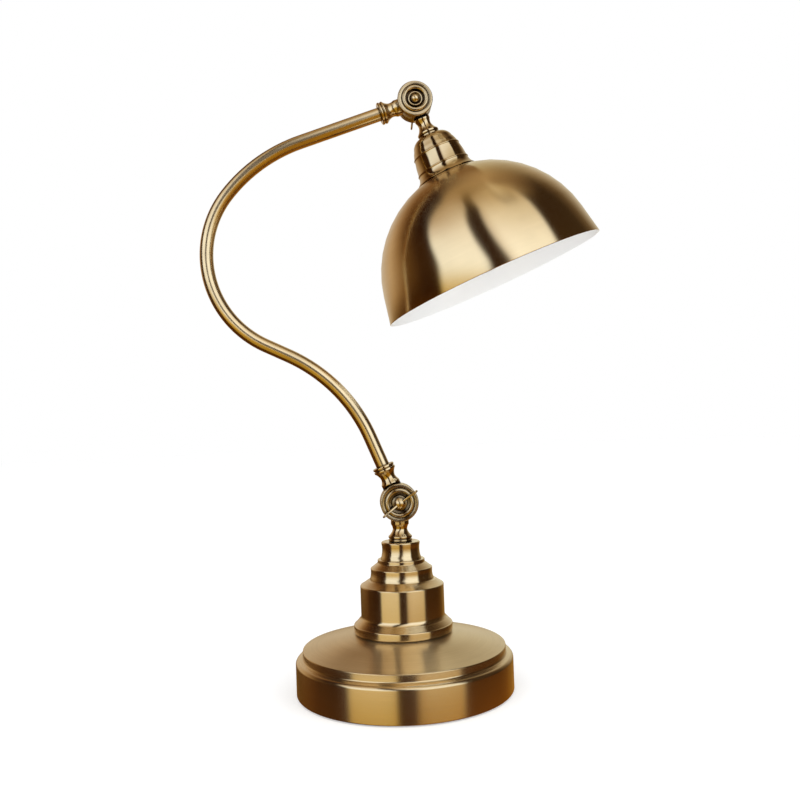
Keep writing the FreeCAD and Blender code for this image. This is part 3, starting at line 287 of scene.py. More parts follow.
class Shader:
    """The node tree of a material or a world, built node by node."""

    def __init__(self, owner, output="ShaderNodeOutputMaterial"):
        self.owner = owner
        owner.use_nodes = True
        self.tree = owner.node_tree
        self.tree.nodes.clear()
        self.output = self.add(output)

    def add(self, kind, values=(), **settings):
        node = self.tree.nodes.new(kind)
        for key, value in settings.items():
            setattr(node, key, value)
        for key, value in dict(values).items():
            if isinstance(value, bpy.types.NodeSocket):
                self.tree.links.new(value, node.inputs[key])
            else:
                node.inputs[key].default_value = value
        return node

    def math(self, operation, first, second):
        node = self.add("ShaderNodeMath", {0: first, 1: second}, operation=operation)
        return node.outputs[0]

    def blend(self, factor, first, second, kind="MIX"):
        node = self.add(
            "ShaderNodeMix", {0: factor, 6: first, 7: second}, data_type="RGBA", blend_type=kind)
        return node.outputs[2]

    def spread(self, value, low, high, to_low, to_high):
        node = self.add("ShaderNodeMapRange", {
            "Value": value, "From Min": low, "From Max": high, "To Min": to_low, "To Max": to_high})
        return node.outputs[0]

    def noise(self, place, scale, detail, roughness=0.5):
        node = self.add("ShaderNodeTexNoise", {
            "Vector": place, "Scale": scale, "Detail": detail, "Roughness": roughness})
        return node.outputs[0]

    def bump(self, height, strength, depth):
        node = self.add("ShaderNodeBump", {
            "Height": height, "Strength": strength, "Distance": depth})
        return node.outputs[0]

    def openness(self, reach):
        """1 on open surfaces, less in hollows narrower than the reach."""
        node = self.add("ShaderNodeAmbientOcclusion", {"Distance": reach}, samples=16)
        return node.outputs["AO"]

    def close(self, shader):
        self.tree.links.new(shader, self.output.inputs["Surface"])
        return self.owner


def colour(values):
    """A colour of three parts, with full cover."""
    return (values[0], values[1], values[2], 1.0)


def brushed_brass(name, centre=(0, 0, 0), turn=(0, 0, 0), rough=1.0, streaks=1.0, hollow_shade_and_patina=0.4,
                  deep=0.0, bloom=0.0):
    """Brass brushed round an axis: the axis is Z turned by turn, through centre.

    rough is the piece's share of the brass's roughness, streaks the strength of the brushed
    lines, hollow_shade_and_patina how far hollows are darkened towards the patina colour, which is
    patina and painted shade in one, deep how far the whole piece is darkened towards that colour,
    and bloom the hazy light on the base's top.
    """
    look = bpy.context.scene.lamp_finish
    sh = Shader(bpy.data.materials.new(name))
    place = sh.add("ShaderNodeTexCoord").outputs["Object"]
    local = sh.add("ShaderNodeMapping", {"Vector": place, "Location": centre, "Rotation": turn},
                   vector_type="TEXTURE").outputs[0]
    axes = sh.add("ShaderNodeSeparateXYZ", {0: local}).outputs
    flat = sh.add("ShaderNodeCombineXYZ", {0: axes[0], 1: axes[1]}).outputs[0]
    radius = sh.add("ShaderNodeVectorMath", {0: flat}, operation="LENGTH").outputs["Value"]
    spoke = sh.add("ShaderNodeVectorMath", {0: flat}, operation="NORMALIZE").outputs[0]
    unit = sh.add("ShaderNodeSeparateXYZ", {0: spoke}).outputs
    along = sh.math("ADD", radius, axes[2])
    fine = sh.add("ShaderNodeCombineXYZ", {
        0: sh.math("MULTIPLY", unit[0], 1.2), 1: sh.math("MULTIPLY", unit[1], 1.2),
        2: sh.math("MULTIPLY", along, 1500.0)}).outputs[0]
    lines = sh.noise(fine, 1.0, 5.0, 0.7)
    cloud = sh.noise(place, 22.0, 3.0)
    # Painted shade and patina: hollows narrower than 5 mm are darkened towards the patina colour.
    shade_and_patina_mask = sh.spread(sh.openness(0.005), 0.35, 0.85, hollow_shade_and_patina, 0.0)
    patina_and_shade = colour(look.patina_and_shade)
    tone = sh.blend(
        sh.spread(lines, 0.3, 0.7, deep, deep + 0.12 * streaks), colour(look.brass), patina_and_shade)
    tone = sh.blend(sh.spread(cloud, 0.35, 0.7, 0.0, 0.08), tone, patina_and_shade)
    tone = sh.blend(shade_and_patina_mask, tone, patina_and_shade)
    level = look.roughness * rough
    grained = sh.spread(lines, 0.25, 0.75, level * 0.93, level * 1.07)
    round_way = sh.add("ShaderNodeCombineXYZ", {
        0: sh.math("MULTIPLY", axes[1], -1.0), 1: axes[0]}).outputs[0]
    back = sh.add("ShaderNodeMapping", {"Vector": round_way, "Rotation": turn},
                  vector_type="VECTOR").outputs[0]
    way = sh.add("ShaderNodeVectorTransform", {0: back}, vector_type="VECTOR",
                 convert_from="OBJECT", convert_to="WORLD").outputs[0]
    bump = sh.bump(lines, 0.02 * streaks, 0.0002)

    def metal(roughness):
        return sh.add("ShaderNodeBsdfPrincipled", {
            "Base Color": tone, "Metallic": 1.0, "Roughness": roughness, "Normal": bump,
            "Tangent": way, "Anisotropic": look.anisotropy,
            "Anisotropic Rotation": 0.25}).outputs[0]

    if not bloom:
        return sh.close(metal(grained))
    on_top = sh.spread(axes[2], 0.034, 0.040, 0.03, bloom)
    return sh.close(sh.add("ShaderNodeMixShader", {
        0: on_top, 1: metal(grained), 2: metal(0.55)}).outputs[0])


def polished_brass(name, rough=1.2, reach=0.006, deep=0.0):
    """Lacquered cast brass: even, with patina and painted shade in hollows narrower than the reach."""
    look = bpy.context.scene.lamp_finish
    sh = Shader(bpy.data.materials.new(name))
    cloud = sh.noise(sh.add("ShaderNodeTexCoord").outputs["Object"], 60.0, 3.0)
    patina_and_shade = colour(look.patina_and_shade)
    tone = sh.blend(sh.spread(cloud, 0.35, 0.7, deep, deep + 0.12), colour(look.brass), patina_and_shade)
    # Painted shade and patina: hollows narrower than the reach are darkened towards the patina colour.
    tone = sh.blend(sh.spread(sh.openness(reach), 0.45, 0.97, 1.0, 0.0), tone, patina_and_shade)
    level = look.roughness * rough
    metal = sh.add("ShaderNodeBsdfPrincipled", {
        "Base Color": tone, "Metallic": 1.0,
        "Roughness": sh.spread(cloud, 0.3, 0.7, level * 0.92, level * 1.08)})
    return sh.close(metal.outputs[0])


def plain_finish(name, shade, roughness, metallic=0.0, grain_scale=900.0, grain_depth=0.04,
                 coat=0.0, mottle=0.1):
    """A moulded, cast, plated or painted surface with a little grain and mottling."""
    sh = Shader(bpy.data.materials.new(name))
    place = sh.add("ShaderNodeTexCoord").outputs["Object"]
    grain = sh.noise(place, grain_scale, 3.0)
    cloud = sh.noise(place, 40.0, 2.0)
    darker = tuple(part * 0.6 for part in shade)
    surface = sh.add("ShaderNodeBsdfPrincipled", {
        "Base Color": sh.blend(
            sh.spread(cloud, 0.3, 0.7, 0.0, mottle), colour(shade), colour(darker)),
        "Metallic": metallic,
        "Roughness": sh.spread(grain, 0.3, 0.7, roughness * 0.85, min(1.0, roughness * 1.15)),
        "Normal": sh.bump(grain, grain_depth, 0.0003), "Coat Weight": coat,
        "Coat Roughness": 0.12})
    return sh.close(surface.outputs[0])


def frosted_glass(name):
    """Bulb glass etched white inside."""
    sh = Shader(bpy.data.materials.new(name))
    grain = sh.noise(sh.add("ShaderNodeTexCoord").outputs["Object"], 1500.0, 2.0)
    surface = sh.add("ShaderNodeBsdfPrincipled", {
        "Base Color": (0.93, 0.93, 0.91, 1.0), "Roughness": 0.35,
        "Normal": sh.bump(grain, 0.05, 0.0002), "Transmission Weight": 0.25, "IOR": 1.5})
    return sh.close(surface.outputs[0])


# ---------------------------------------------------------------- base and pedestal


class LAMP_OT_base(bpy.types.Operator):
    """Spun cover, felt pad and lead bush of the base"""
    bl_idname = "lamp.base"
    bl_label = "Base"

    def execute(self, context):
        brass = brushed_brass("Base brass", rough=1.1, hollow_shade_and_patina=0.1, bloom=0.35)
        cover = turned("base_shell", [
            (THREAD_HOLE, 49.3), (39.4, 49.3, -1.0), (86.7, 37.1), (86.7, 30.0),
            (90.1, 30.0, -1.0), (92.9, 26.6),
            (92.9, 1.0), (93.3, 1.0, 0.32), (94.4, 2.1), (94.4, 27.5, 1.0), (91.0, 30.9),
            (89.7, 31.5, -0.44), (88.2, 33.0), (88.2, 37.7, 0.26), (87.3, 38.6, 1.0),
            (39.4, 50.8), (THREAD_HOLE, 50.8)])
        finish(cover, brass, "base", ["base_cover"])
        pad = turned(
            "felt_pad", [(0, 0), (90.0, 0, 0.12), (90.4, 0.4), (90.4, 2.0), (0, 2.0)], soft=False)
        felt = plain_finish(
            "Felt", (0.02, 0.02, 0.02), 0.95, grain_scale=1800.0, grain_depth=0.5, mottle=0.4)
        finish(pad, felt, "base", ["base_pad"])
        bush = turned("lead_bush", [
            (3.3, 87.9), (4.55, 87.9), (4.55, 94.45), (7.0, 94.45), (7.0, 95.55, 0.26),
            (6.1, 96.45), (4.2, 96.45, -0.26), (3.3, 95.55)], steps=64)
        put(bush, (0, 0, 0.011), ALONG_Y)
        moulding = plain_finish("Bush moulding", (0.02, 0.02, 0.02), 0.4, coat=0.2)
        finish(bush, moulding, "base", ["inlet_bush"])
        return {"FINISHED"}


class LAMP_OT_pedestal(bpy.types.Operator):
    """Column with its collar, shoulder and cap"""
    bl_idname = "lamp.pedestal"
    bl_label = "Pedestal"

    def execute(self, context):
        brass = brushed_brass("Pedestal brass", rough=0.95, streaks=0.7, hollow_shade_and_patina=0.25)
        column = turned("column", [
            (39.9, 50.8), (41.4, 50.8, 0.47), (43.0, 52.4), (43.0, 57.2, 0.23), (42.2, 58.0),
            (38.9, 61.6, -0.7), (36.5, 66.0), (36.5, 90.6, 0.35), (35.3, 91.8),
            (29.6, 95.6, -0.18), (28.0, 96.2), (THREAD_HOLE, 96.2), (THREAD_HOLE, 94.7),
            (28.0, 94.7), (33.8, 90.3), (35.0, 89.1), (35.0, 64.5), (39.9, 56.5)])
        finish(column, brass, "base", ["pedestal_column"])
        shoulder = turned("shoulder", [
            (24.9, 96.2), (28.0, 96.2, -0.6), (27.0, 105.4, 0.3), (26.0, 106.4),
            (21.2, 110.2, -0.18),
            (20.6, 110.8), (20.6, 112.8, 0.18), (20.0, 113.4), (THREAD_HOLE, 113.4),
            (THREAD_HOLE, 111.9), (19.1, 111.9), (19.1, 109.3), (24.9, 104.9)])
        finish(shoulder, brass, "base", ["pedestal_shoulder"])
        cap = turned("pedestal_top", [
            (14.3, 113.4), (18.0, 113.4, -1.1), (16.9, 127.4, 0.35), (15.7, 128.6),
            (THREAD_HOLE, 128.6), (THREAD_HOLE, 127.1), (14.3, 127.1)])
        finish(cap, brass, "base", ["pedestal_cap"])
        return {"FINISHED"}


# ---------------------------------------------------------------- knuckles and their screws


def knuckle(name, side, radius, bead, neck, neck_brass, disc_brass):
    """Half a knuckle: a ringed disc on the Y axis and a neck along Z, clear of the other disc."""
    stem = turned(name, neck)
    stem.data.materials.append(neck_brass)
    clear = radius + 1.9
    cutter = turned(
        name + "_cutter", [(0, -0.8), (clear, -0.8), (clear, 40), (0, 40)], soft=False)
    put(cutter, turn=(math.pi / 2 * side, 0, 0))
    cutter.data.materials.append(neck_brass)
    combine(stem, cutter, "DIFFERENCE")
    groove = bead + 0.9
    disc = turned(name + "_disc", [
        (SCREW_HOLE, FACE), (radius - 0.6, FACE), (radius, FACE + 0.6),
        (radius, OUTER - 1.0, 0.29),
        (radius - 1.0, OUTER), (groove, OUTER), (groove - 0.3, OUTER - 0.9), (bead, OUTER - 0.9),
        (bead, OUTER, 1.0), (bead - 3.4, OUTER), (bead - 3.4, SEAT), (SCREW_HOLE, SEAT)])
    put(disc, turn=(-math.pi / 2 * side, 0, 0))
    disc.data.materials.append(disc_brass)
    combine(stem, disc)
    return stem


def neck_corners(radius, root, waist, ring, length, end_bore, end_depth):
    """Outline of a knuckle's neck: flared root, waist and two thin rings round a stepped bore."""
    start = radius - 3.6
    root_end = radius + 2.4
    rings = length - 5.2
    middle = root_end + (rings - root_end) * 0.45
    return [
        (NECK_BORE, start), (root, start), (root, root_end, -0.35), (waist, middle, -0.5),
        (ring - 0.6, rings), (ring, rings + 0.6), (ring, rings + 1.9), (ring - 0.9, rings + 2.5),
        (ring - 0.9, rings + 2.7), (ring, rings + 3.3), (ring, length - 0.6),
        (ring - 0.6, length), (end_bore, length), (end_bore, length - end_depth),
        (NECK_BORE, length - end_depth)]


class LAMP_OT_knuckles(bpy.types.Operator):
    """The four knuckle halves"""
    bl_idname = "lamp.knuckles"
    bl_label = "Knuckles"

    def execute(self, context):
        sizes = context.scene.lamp_sizes
        foot_turn, shade_turn = -sizes.arm_lean, math.pi - sizes.shade_tilt
        tip_turn = math.radians(273.5) - sizes.arm_lean
        for place, radius, bead, halves in (
                (LOWER_JOINT, 16.6, 12.6, (
                    ("stud", "base_stud", "base", -1, math.pi,
                     (7.9, 6.3, 10.3, 34.0, THREAD_HOLE, 8.0)),
                    ("foot_knuckle", "arm_foot", "arm", 1, foot_turn,
                     (8.3, 6.4, 9.6, 35.0, TUBE_SOCKET, 7.0)))),
                (UPPER_JOINT, 15.5, 11.6, (
                    ("tip_knuckle", "arm_tip", "arm", -1, tip_turn,
                     (7.2, 6.1, 9.7, 33.0, TUBE_SOCKET, 7.0)),
                    ("shade_knuckle", "shade_neck", "head", 1, shade_turn,
                     (6.9, 5.8, 9.7, 34.0, THREAD_HOLE, 8.0))))):
            # Discs and necks take the full painted shade and patina in their recesses.
            discs = brushed_brass(
                "Disc brass", place, ALONG_Y, rough=1.2, streaks=0.6, hollow_shade_and_patina=1.0, deep=0.2)
            for name, node, body, side, turn, neck in halves:
                brass = brushed_brass(
                    "Neck brass", place, (0, turn, 0), rough=0.75, streaks=0.4, hollow_shade_and_patina=1.0, deep=0.08)
                piece = knuckle(
                    name, side, radius, bead, neck_corners(radius, *neck), brass, discs)
                put(piece, place, (0, turn, 0))
                finish(piece, None, body, [node])
        return {"FINISHED"}


def wing_screw(name, side):
    """Wing screw on the Y axis: shank, flange, domed head and two flat wings."""
    seat = SEAT + 0.1
    inner = OUTER + 1.7
    neck_top = inner + 0.96
    body = turned(name, [
        (0, -9.5), (SCREW_RADIUS, -9.5), (SCREW_RADIUS, seat), (FLANGE_RADIUS, seat),
        (FLANGE_RADIUS, seat + 1.8), (4.8, seat + 1.8), (4.8, neck_top, 0.69),
        (0, neck_top + 2.6)], steps=72)
    put(body, turn=(-math.pi / 2 * side, 0, 0))
    corners = [
        (-2.9, inner), (2.9, inner, 0.9), (17.6, inner + 3.3, 1.6), (16.6, inner + 9.5, -0.9),
        (2.9, inner + 2.4), (-2.9, inner + 2.4, -0.9), (-16.6, inner + 9.5, 1.6),
        (-17.6, inner + 3.3, 0.9)]
    wings = trace(name + "_wings", outline_points(corners))
    bpy.ops.mesh.edge_face_add()
    bpy.ops.object.mode_set(mode="OBJECT")
    apply_modifier(wings, "SOLIDIFY", thickness=1.5 * MM, offset=0)
    soften(wings, 0.4 * MM, segments=3)
    put(wings, turn=(-math.pi / 2 * side, 0, 0))
    combine(body, wings)
    return body


class LAMP_OT_screws(bpy.types.Operator):
    """Wing screws and cap nuts that clamp the knuckles"""
    bl_idname = "lamp.screws"
    bl_label = "Screws and nuts"

    def execute(self, context):
        brass = polished_brass("Screw brass", deep=0.06)
        for name, node, body, side, place, degrees in (
                ("lower_wings", "lower_wing_screw", "lower_screw", -1, LOWER_JOINT, 36),
                ("upper_wings", "upper_wing_screw", "upper_screw", 1, UPPER_JOINT, 84)):
            screw = wing_screw(name, side)
            put(screw, place, (0, -math.radians(degrees), 0))
            finish(screw, brass, body, [node])
        for name, node, side, place in (
                ("lower_nut", "lower_cap_nut", 1, LOWER_JOINT),
                ("upper_nut", "upper_cap_nut", -1, UPPER_JOINT)):
            nut = turned(name, [
                (0, SEAT + 3.1), (SCREW_HOLE, SEAT + 3.1), (SCREW_HOLE, SEAT),
                (FLANGE_RADIUS, SEAT), (FLANGE_RADIUS, OUTER - 0.9, 0.35), (5.0, OUTER - 0.9),
                (3.7, OUTER - 1.5), (3.7, OUTER, 0.59), (0, OUTER + 2.2)], steps=72)
            put(nut, place, (-math.pi / 2 * side, 0, 0))
            finish(nut, brass, "arm", [node])
        return {"FINISHED"}


# ---------------------------------------------------------------- arm


class LAMP_OT_arm(bpy.types.Operator):
    """Bent tube of the arm"""
    bl_idname = "lamp.arm"
    bl_label = "Arm"

    def execute(self, context):
        sizes = context.scene.lamp_sizes
        clear_selection()
        place = Vector((0, 0, 0.028))
        bpy.ops.mesh.primitive_circle_add(
            vertices=48, radius=sizes.tube_radius, location=place, fill_type="NOTHING")
        tube = context.object
        tube.name = "arm_pipe"
        bpy.ops.object.transform_apply(location=True)
        bpy.ops.object.mode_set(mode="EDIT")
        bpy.ops.mesh.select_all(action="SELECT")
        heading = 0.0
        for kind, length, bend in (
                ("run", 0.034, 0), ("bend", 0.141, 42), ("run", 0.0215, 0), ("bend", 0.087, -103),
                ("bend", 0.1415, -32.5), ("run", 0.0815, 0)):
            way = Vector((-math.sin(heading), 0, math.cos(heading)))
            if kind == "run":
                bpy.ops.mesh.extrude_region_move(TRANSFORM_OT_translate={"value": way * length})
                place += way * length
                continue
            angle = math.radians(bend)
            towards = 1 if bend > 0 else -1
            centre = place + Vector((-math.cos(heading), 0, -math.sin(heading))) * length * towards
            bpy.ops.mesh.spin(
                steps=max(8, round(abs(bend) / 2)), angle=abs(angle), center=centre,
                axis=(0, towards, 0))
            turn = Matrix.Rotation(-angle, 3, "Y")
            place = centre + turn @ (place - centre)
            heading += angle
        bpy.ops.mesh.select_all(action="SELECT")
        bpy.ops.mesh.remove_doubles(threshold=1e-6)
        bpy.ops.mesh.fill_holes(sides=64)
        bpy.ops.mesh.select_all(action="SELECT")
        bpy.ops.mesh.normals_make_consistent(inside=False)
        bpy.ops.object.mode_set(mode="OBJECT")
        put(tube, LOWER_JOINT, (0, -sizes.arm_lean, 0))
        brass = polished_brass("Tube brass", 1.15, 0.002)
        finish(tube, brass, "arm", ["arm_tube"])
        return {"FINISHED"}


# ---------------------------------------------------------------- head


def head_turn(context):
    """Turn that lays a piece's Z axis along the shade's axis, from the knuckle down."""
    return (0, math.pi - context.scene.lamp_sizes.shade_tilt, 0)


class LAMP_OT_shade(bpy.types.Operator):
    """Spun shade, brass outside and enamelled inside"""
    bl_idname = "lamp.shade"
    bl_label = "Shade"

    def execute(self, context):
        sizes = context.scene.lamp_sizes
        outer = sizes.dome_radius / MM
        wall = sizes.shade_wall / MM
        lean = math.radians(11)

        def on_dome(radius, hole):
            return (hole, DOME_CENTRE - math.sqrt(radius * radius - hole * hole))

        inner = outer - wall
        out_foot = (outer * math.cos(lean), DOME_CENTRE - outer * math.sin(lean))
        in_foot = (inner * math.cos(lean), DOME_CENTRE - inner * math.sin(lean))
        flare = math.tan(lean)
        rim_out = out_foot[0] + (RIM - out_foot[1]) * flare
        rim_in = in_foot[0] + (RIM - in_foot[1]) * flare
        top_out, top_in = on_dome(outer, SHADE_HOLE), on_dome(inner, SHADE_HOLE)
        outline = [
            top_in,
            top_out + (cap_bulge(outer, top_out, out_foot),),
            out_foot,
            (rim_out - 0.05, RIM - 0.4, 0.1),
            (rim_out - 0.45, RIM, 0.1),
            (rim_in + 0.05, RIM - 0.4),
            in_foot + (-cap_bulge(inner, in_foot, top_in),)]
        piece = turned("shade_dome", outline, steps=192, soft=False)
        enamel = plain_finish(
            "White enamel", context.scene.lamp_finish.enamel, 0.35, grain_scale=300.0,
            grain_depth=0.02, coat=0.3, mottle=0.03)
        brass = brushed_brass(
            "Shade brass", UPPER_JOINT, head_turn(context), rough=0.875, streaks=0.5, hollow_shade_and_patina=0.0)
        piece.data.materials.append(brass)
        piece.data.materials.append(enamel)
        middle = Vector((0, 0, DOME_CENTRE * MM))
        for face in piece.data.polygons:
            beyond_hole = face.center.xy.length > (SHADE_HOLE + 0.2) * MM
            if beyond_hole and face.normal.dot(face.center - middle) < 0:
                face.material_index = 1
        put(piece, UPPER_JOINT, head_turn(context))
        finish(piece, None, "head", ["shade"])
        return {"FINISHED"}


class LAMP_OT_cup(bpy.types.Operator):
    """Spun cup over the lampholder"""
    bl_idname = "lamp.cup"
    bl_label = "Cup"

    def execute(self, context):
        brass = brushed_brass(
            "Cup brass", UPPER_JOINT, head_turn(context), rough=0.6, streaks=0.4, hollow_shade_and_patina=0.3, deep=0.2)
        cup = turned("lamp_cup", [
            (THREAD_HOLE, 35.0), (THREAD_HOLE, 34.0), (13.0, 34.0, 1.0), (18.4, 40.8, 0.3),
            (21.0, 47.6, 0.6), (21.2, 49.2, 0.3), (23.3, 62.2, 0.6), (23.5, 63.8, -0.9),
            (27.8, 71.6), (26.8, 72.2, 0.72),
            (22.5, 64.2), (22.3, 62.2), (20.0, 48.4), (17.4, 41.2, -0.8), (12.6, 35.0)])
        put(cup, UPPER_JOINT, head_turn(context))
        finish(cup, brass, "head", ["socket_cup"])
        return {"FINISHED"}


class LAMP_OT_bulb(bpy.types.Operator):
    """Frosted finish of the bulb's glass"""
    bl_idname = "lamp.bulb"
    bl_label = "Bulb"

    def execute(self, context):
        glass = frame["nodes"]["bulb_glass"]
        glass.data.materials.clear()
        glass.data.materials.append(frosted_glass("Frosted glass"))
        return {"FINISHED"}


class LAMP_OT_inner(bpy.types.Operator):
    """Finish of the carried-over inner pieces"""
    bl_idname = "lamp.inner"
    bl_label = "Inner pieces"

    def execute(self, context):
        finishes = {
            "antique_brass": polished_brass("Plain brass"),
            "zinc_steel": plain_finish("Zinc-plated steel", (0.6, 0.6, 0.58), 0.3, metallic=1.0),
            "cast_weight": plain_finish("Cast iron", (0.03, 0.03, 0.03), 0.7, grain_depth=0.5),
            "felt": plain_finish("Felt underside", (0.02, 0.02, 0.02), 0.95),
            "fibre": plain_finish("Fibre", (0.05, 0.02, 0.01), 0.8),
            "holder_plastic": plain_finish(
                "Lampholder moulding", (0.02, 0.02, 0.02), 0.35, coat=0.2),
            "contact_block_white": plain_finish("Glazed block", (0.75, 0.74, 0.7), 0.3, coat=0.4),
            "contact_metal": plain_finish("Contact brass", (0.8, 0.68, 0.4), 0.25, metallic=1.0),
            "bulb_metal": plain_finish("Bulb cap metal", (0.8, 0.8, 0.8), 0.25, metallic=1.0),
        }
        slots = {part["node"]: part["material_slot"] for part in frame["record"]["subparts"]}
        for name, node in frame["nodes"].items():
            if node.hide_render or slots[name] not in finishes:
                continue
            node.data.materials.clear()
            node.data.materials.append(finishes[slots[name]])
        return {"FINISHED"}


# ---------------------------------------------------------------- studio


CAMERA_AZIMUTH = math.radians(3.375)
CAMERA_PLACE = Vector((-0.0403, -0.7507, 0.2379))

# What the brass mirrors. Azimuths are degrees to the right of the camera's side, and heights run
# from -1 straight down to 1 straight up.
ROOM = (  # backdrop behind the lamp, and two soft boxes at the camera's side with dark gaps
    (-180, (0.66, 0.58, 0.46)), (-150, (0.62, 0.51, 0.40)), (-130, (0.58, 0.43, 0.28)),
    (-112, (0.34, 0.21, 0.10)), (-100, (0.14, 0.07, 0.02)), (-80, (0.05, 0.02, 0.005)),
    (-62, (0.04, 0.015, 0.003)), (-57, (1.2, 1.3, 1.48)), (-11, (1.24, 1.34, 1.52)),
    (-6, (0.035, 0.014, 0.003)), (10, (0.035, 0.014, 0.003)), (16, (1.1, 1.12, 1.2)),
    (25, (1.32, 1.42, 1.6)), (60, (1.3, 1.4, 1.54)), (65, (0.05, 0.025, 0.006)),
    (112, (0.05, 0.028, 0.01)), (128, (0.15, 0.10, 0.05)), (150, (0.52, 0.46, 0.36)),
    (180, (0.86, 0.86, 0.72)))
HEIGHTS = (  # darker and warmer towards the table and the ceiling
    (-1, (0.30, 0.20, 0.04)), (-0.4, (0.38, 0.24, 0.03)), (-0.31, (0.48, 0.32, 0.06)),
    (-0.2, (0.62, 0.48, 0.24)), (-0.1, (0.70, 0.58, 0.38)), (0.08, (1, 1, 1)),
    (0.45, (0.97, 0.94, 0.92)), (0.6, (0.92, 0.87, 0.83)), (0.72, (0.80, 0.72, 0.62)),
    (0.84, (0.68, 0.58, 0.44)), (0.94, (0.54, 0.42, 0.28)), (1, (0.46, 0.33, 0.20)))
TABLE = (  # shading of the table by azimuth
    (-180, (0.5, 0.4, 0.2)), (-145, (0.2, 0.15, 0.06)), (-100, (0.3, 0.2, 0.08)),
    (-60, (1, 0.95, 0.75)), (-10, (1, 0.96, 0.78)), (14, (0.66, 0.55, 0.30)),
    (61, (0.64, 0.52, 0.24)), (180, (0.75, 0.65, 0.5)))
CEILING = (  # brightest over the right soft box
    (-180, (0.52, 0.36, 0.19)), (-130, (0.46, 0.31, 0.16)), (-90, (0.48, 0.34, 0.18)),
    (-55, (0.34, 0.22, 0.09)), (-20, (0.48, 0.36, 0.20)), (10, (0.66, 0.52, 0.32)),
    (30, (0.86, 0.72, 0.5)), (55, (0.7, 0.55, 0.33)), (80, (0.40, 0.27, 0.13)),
    (110, (0.28, 0.17, 0.08)), (150, (0.38, 0.25, 0.12)), (180, (0.52, 0.36, 0.19)))


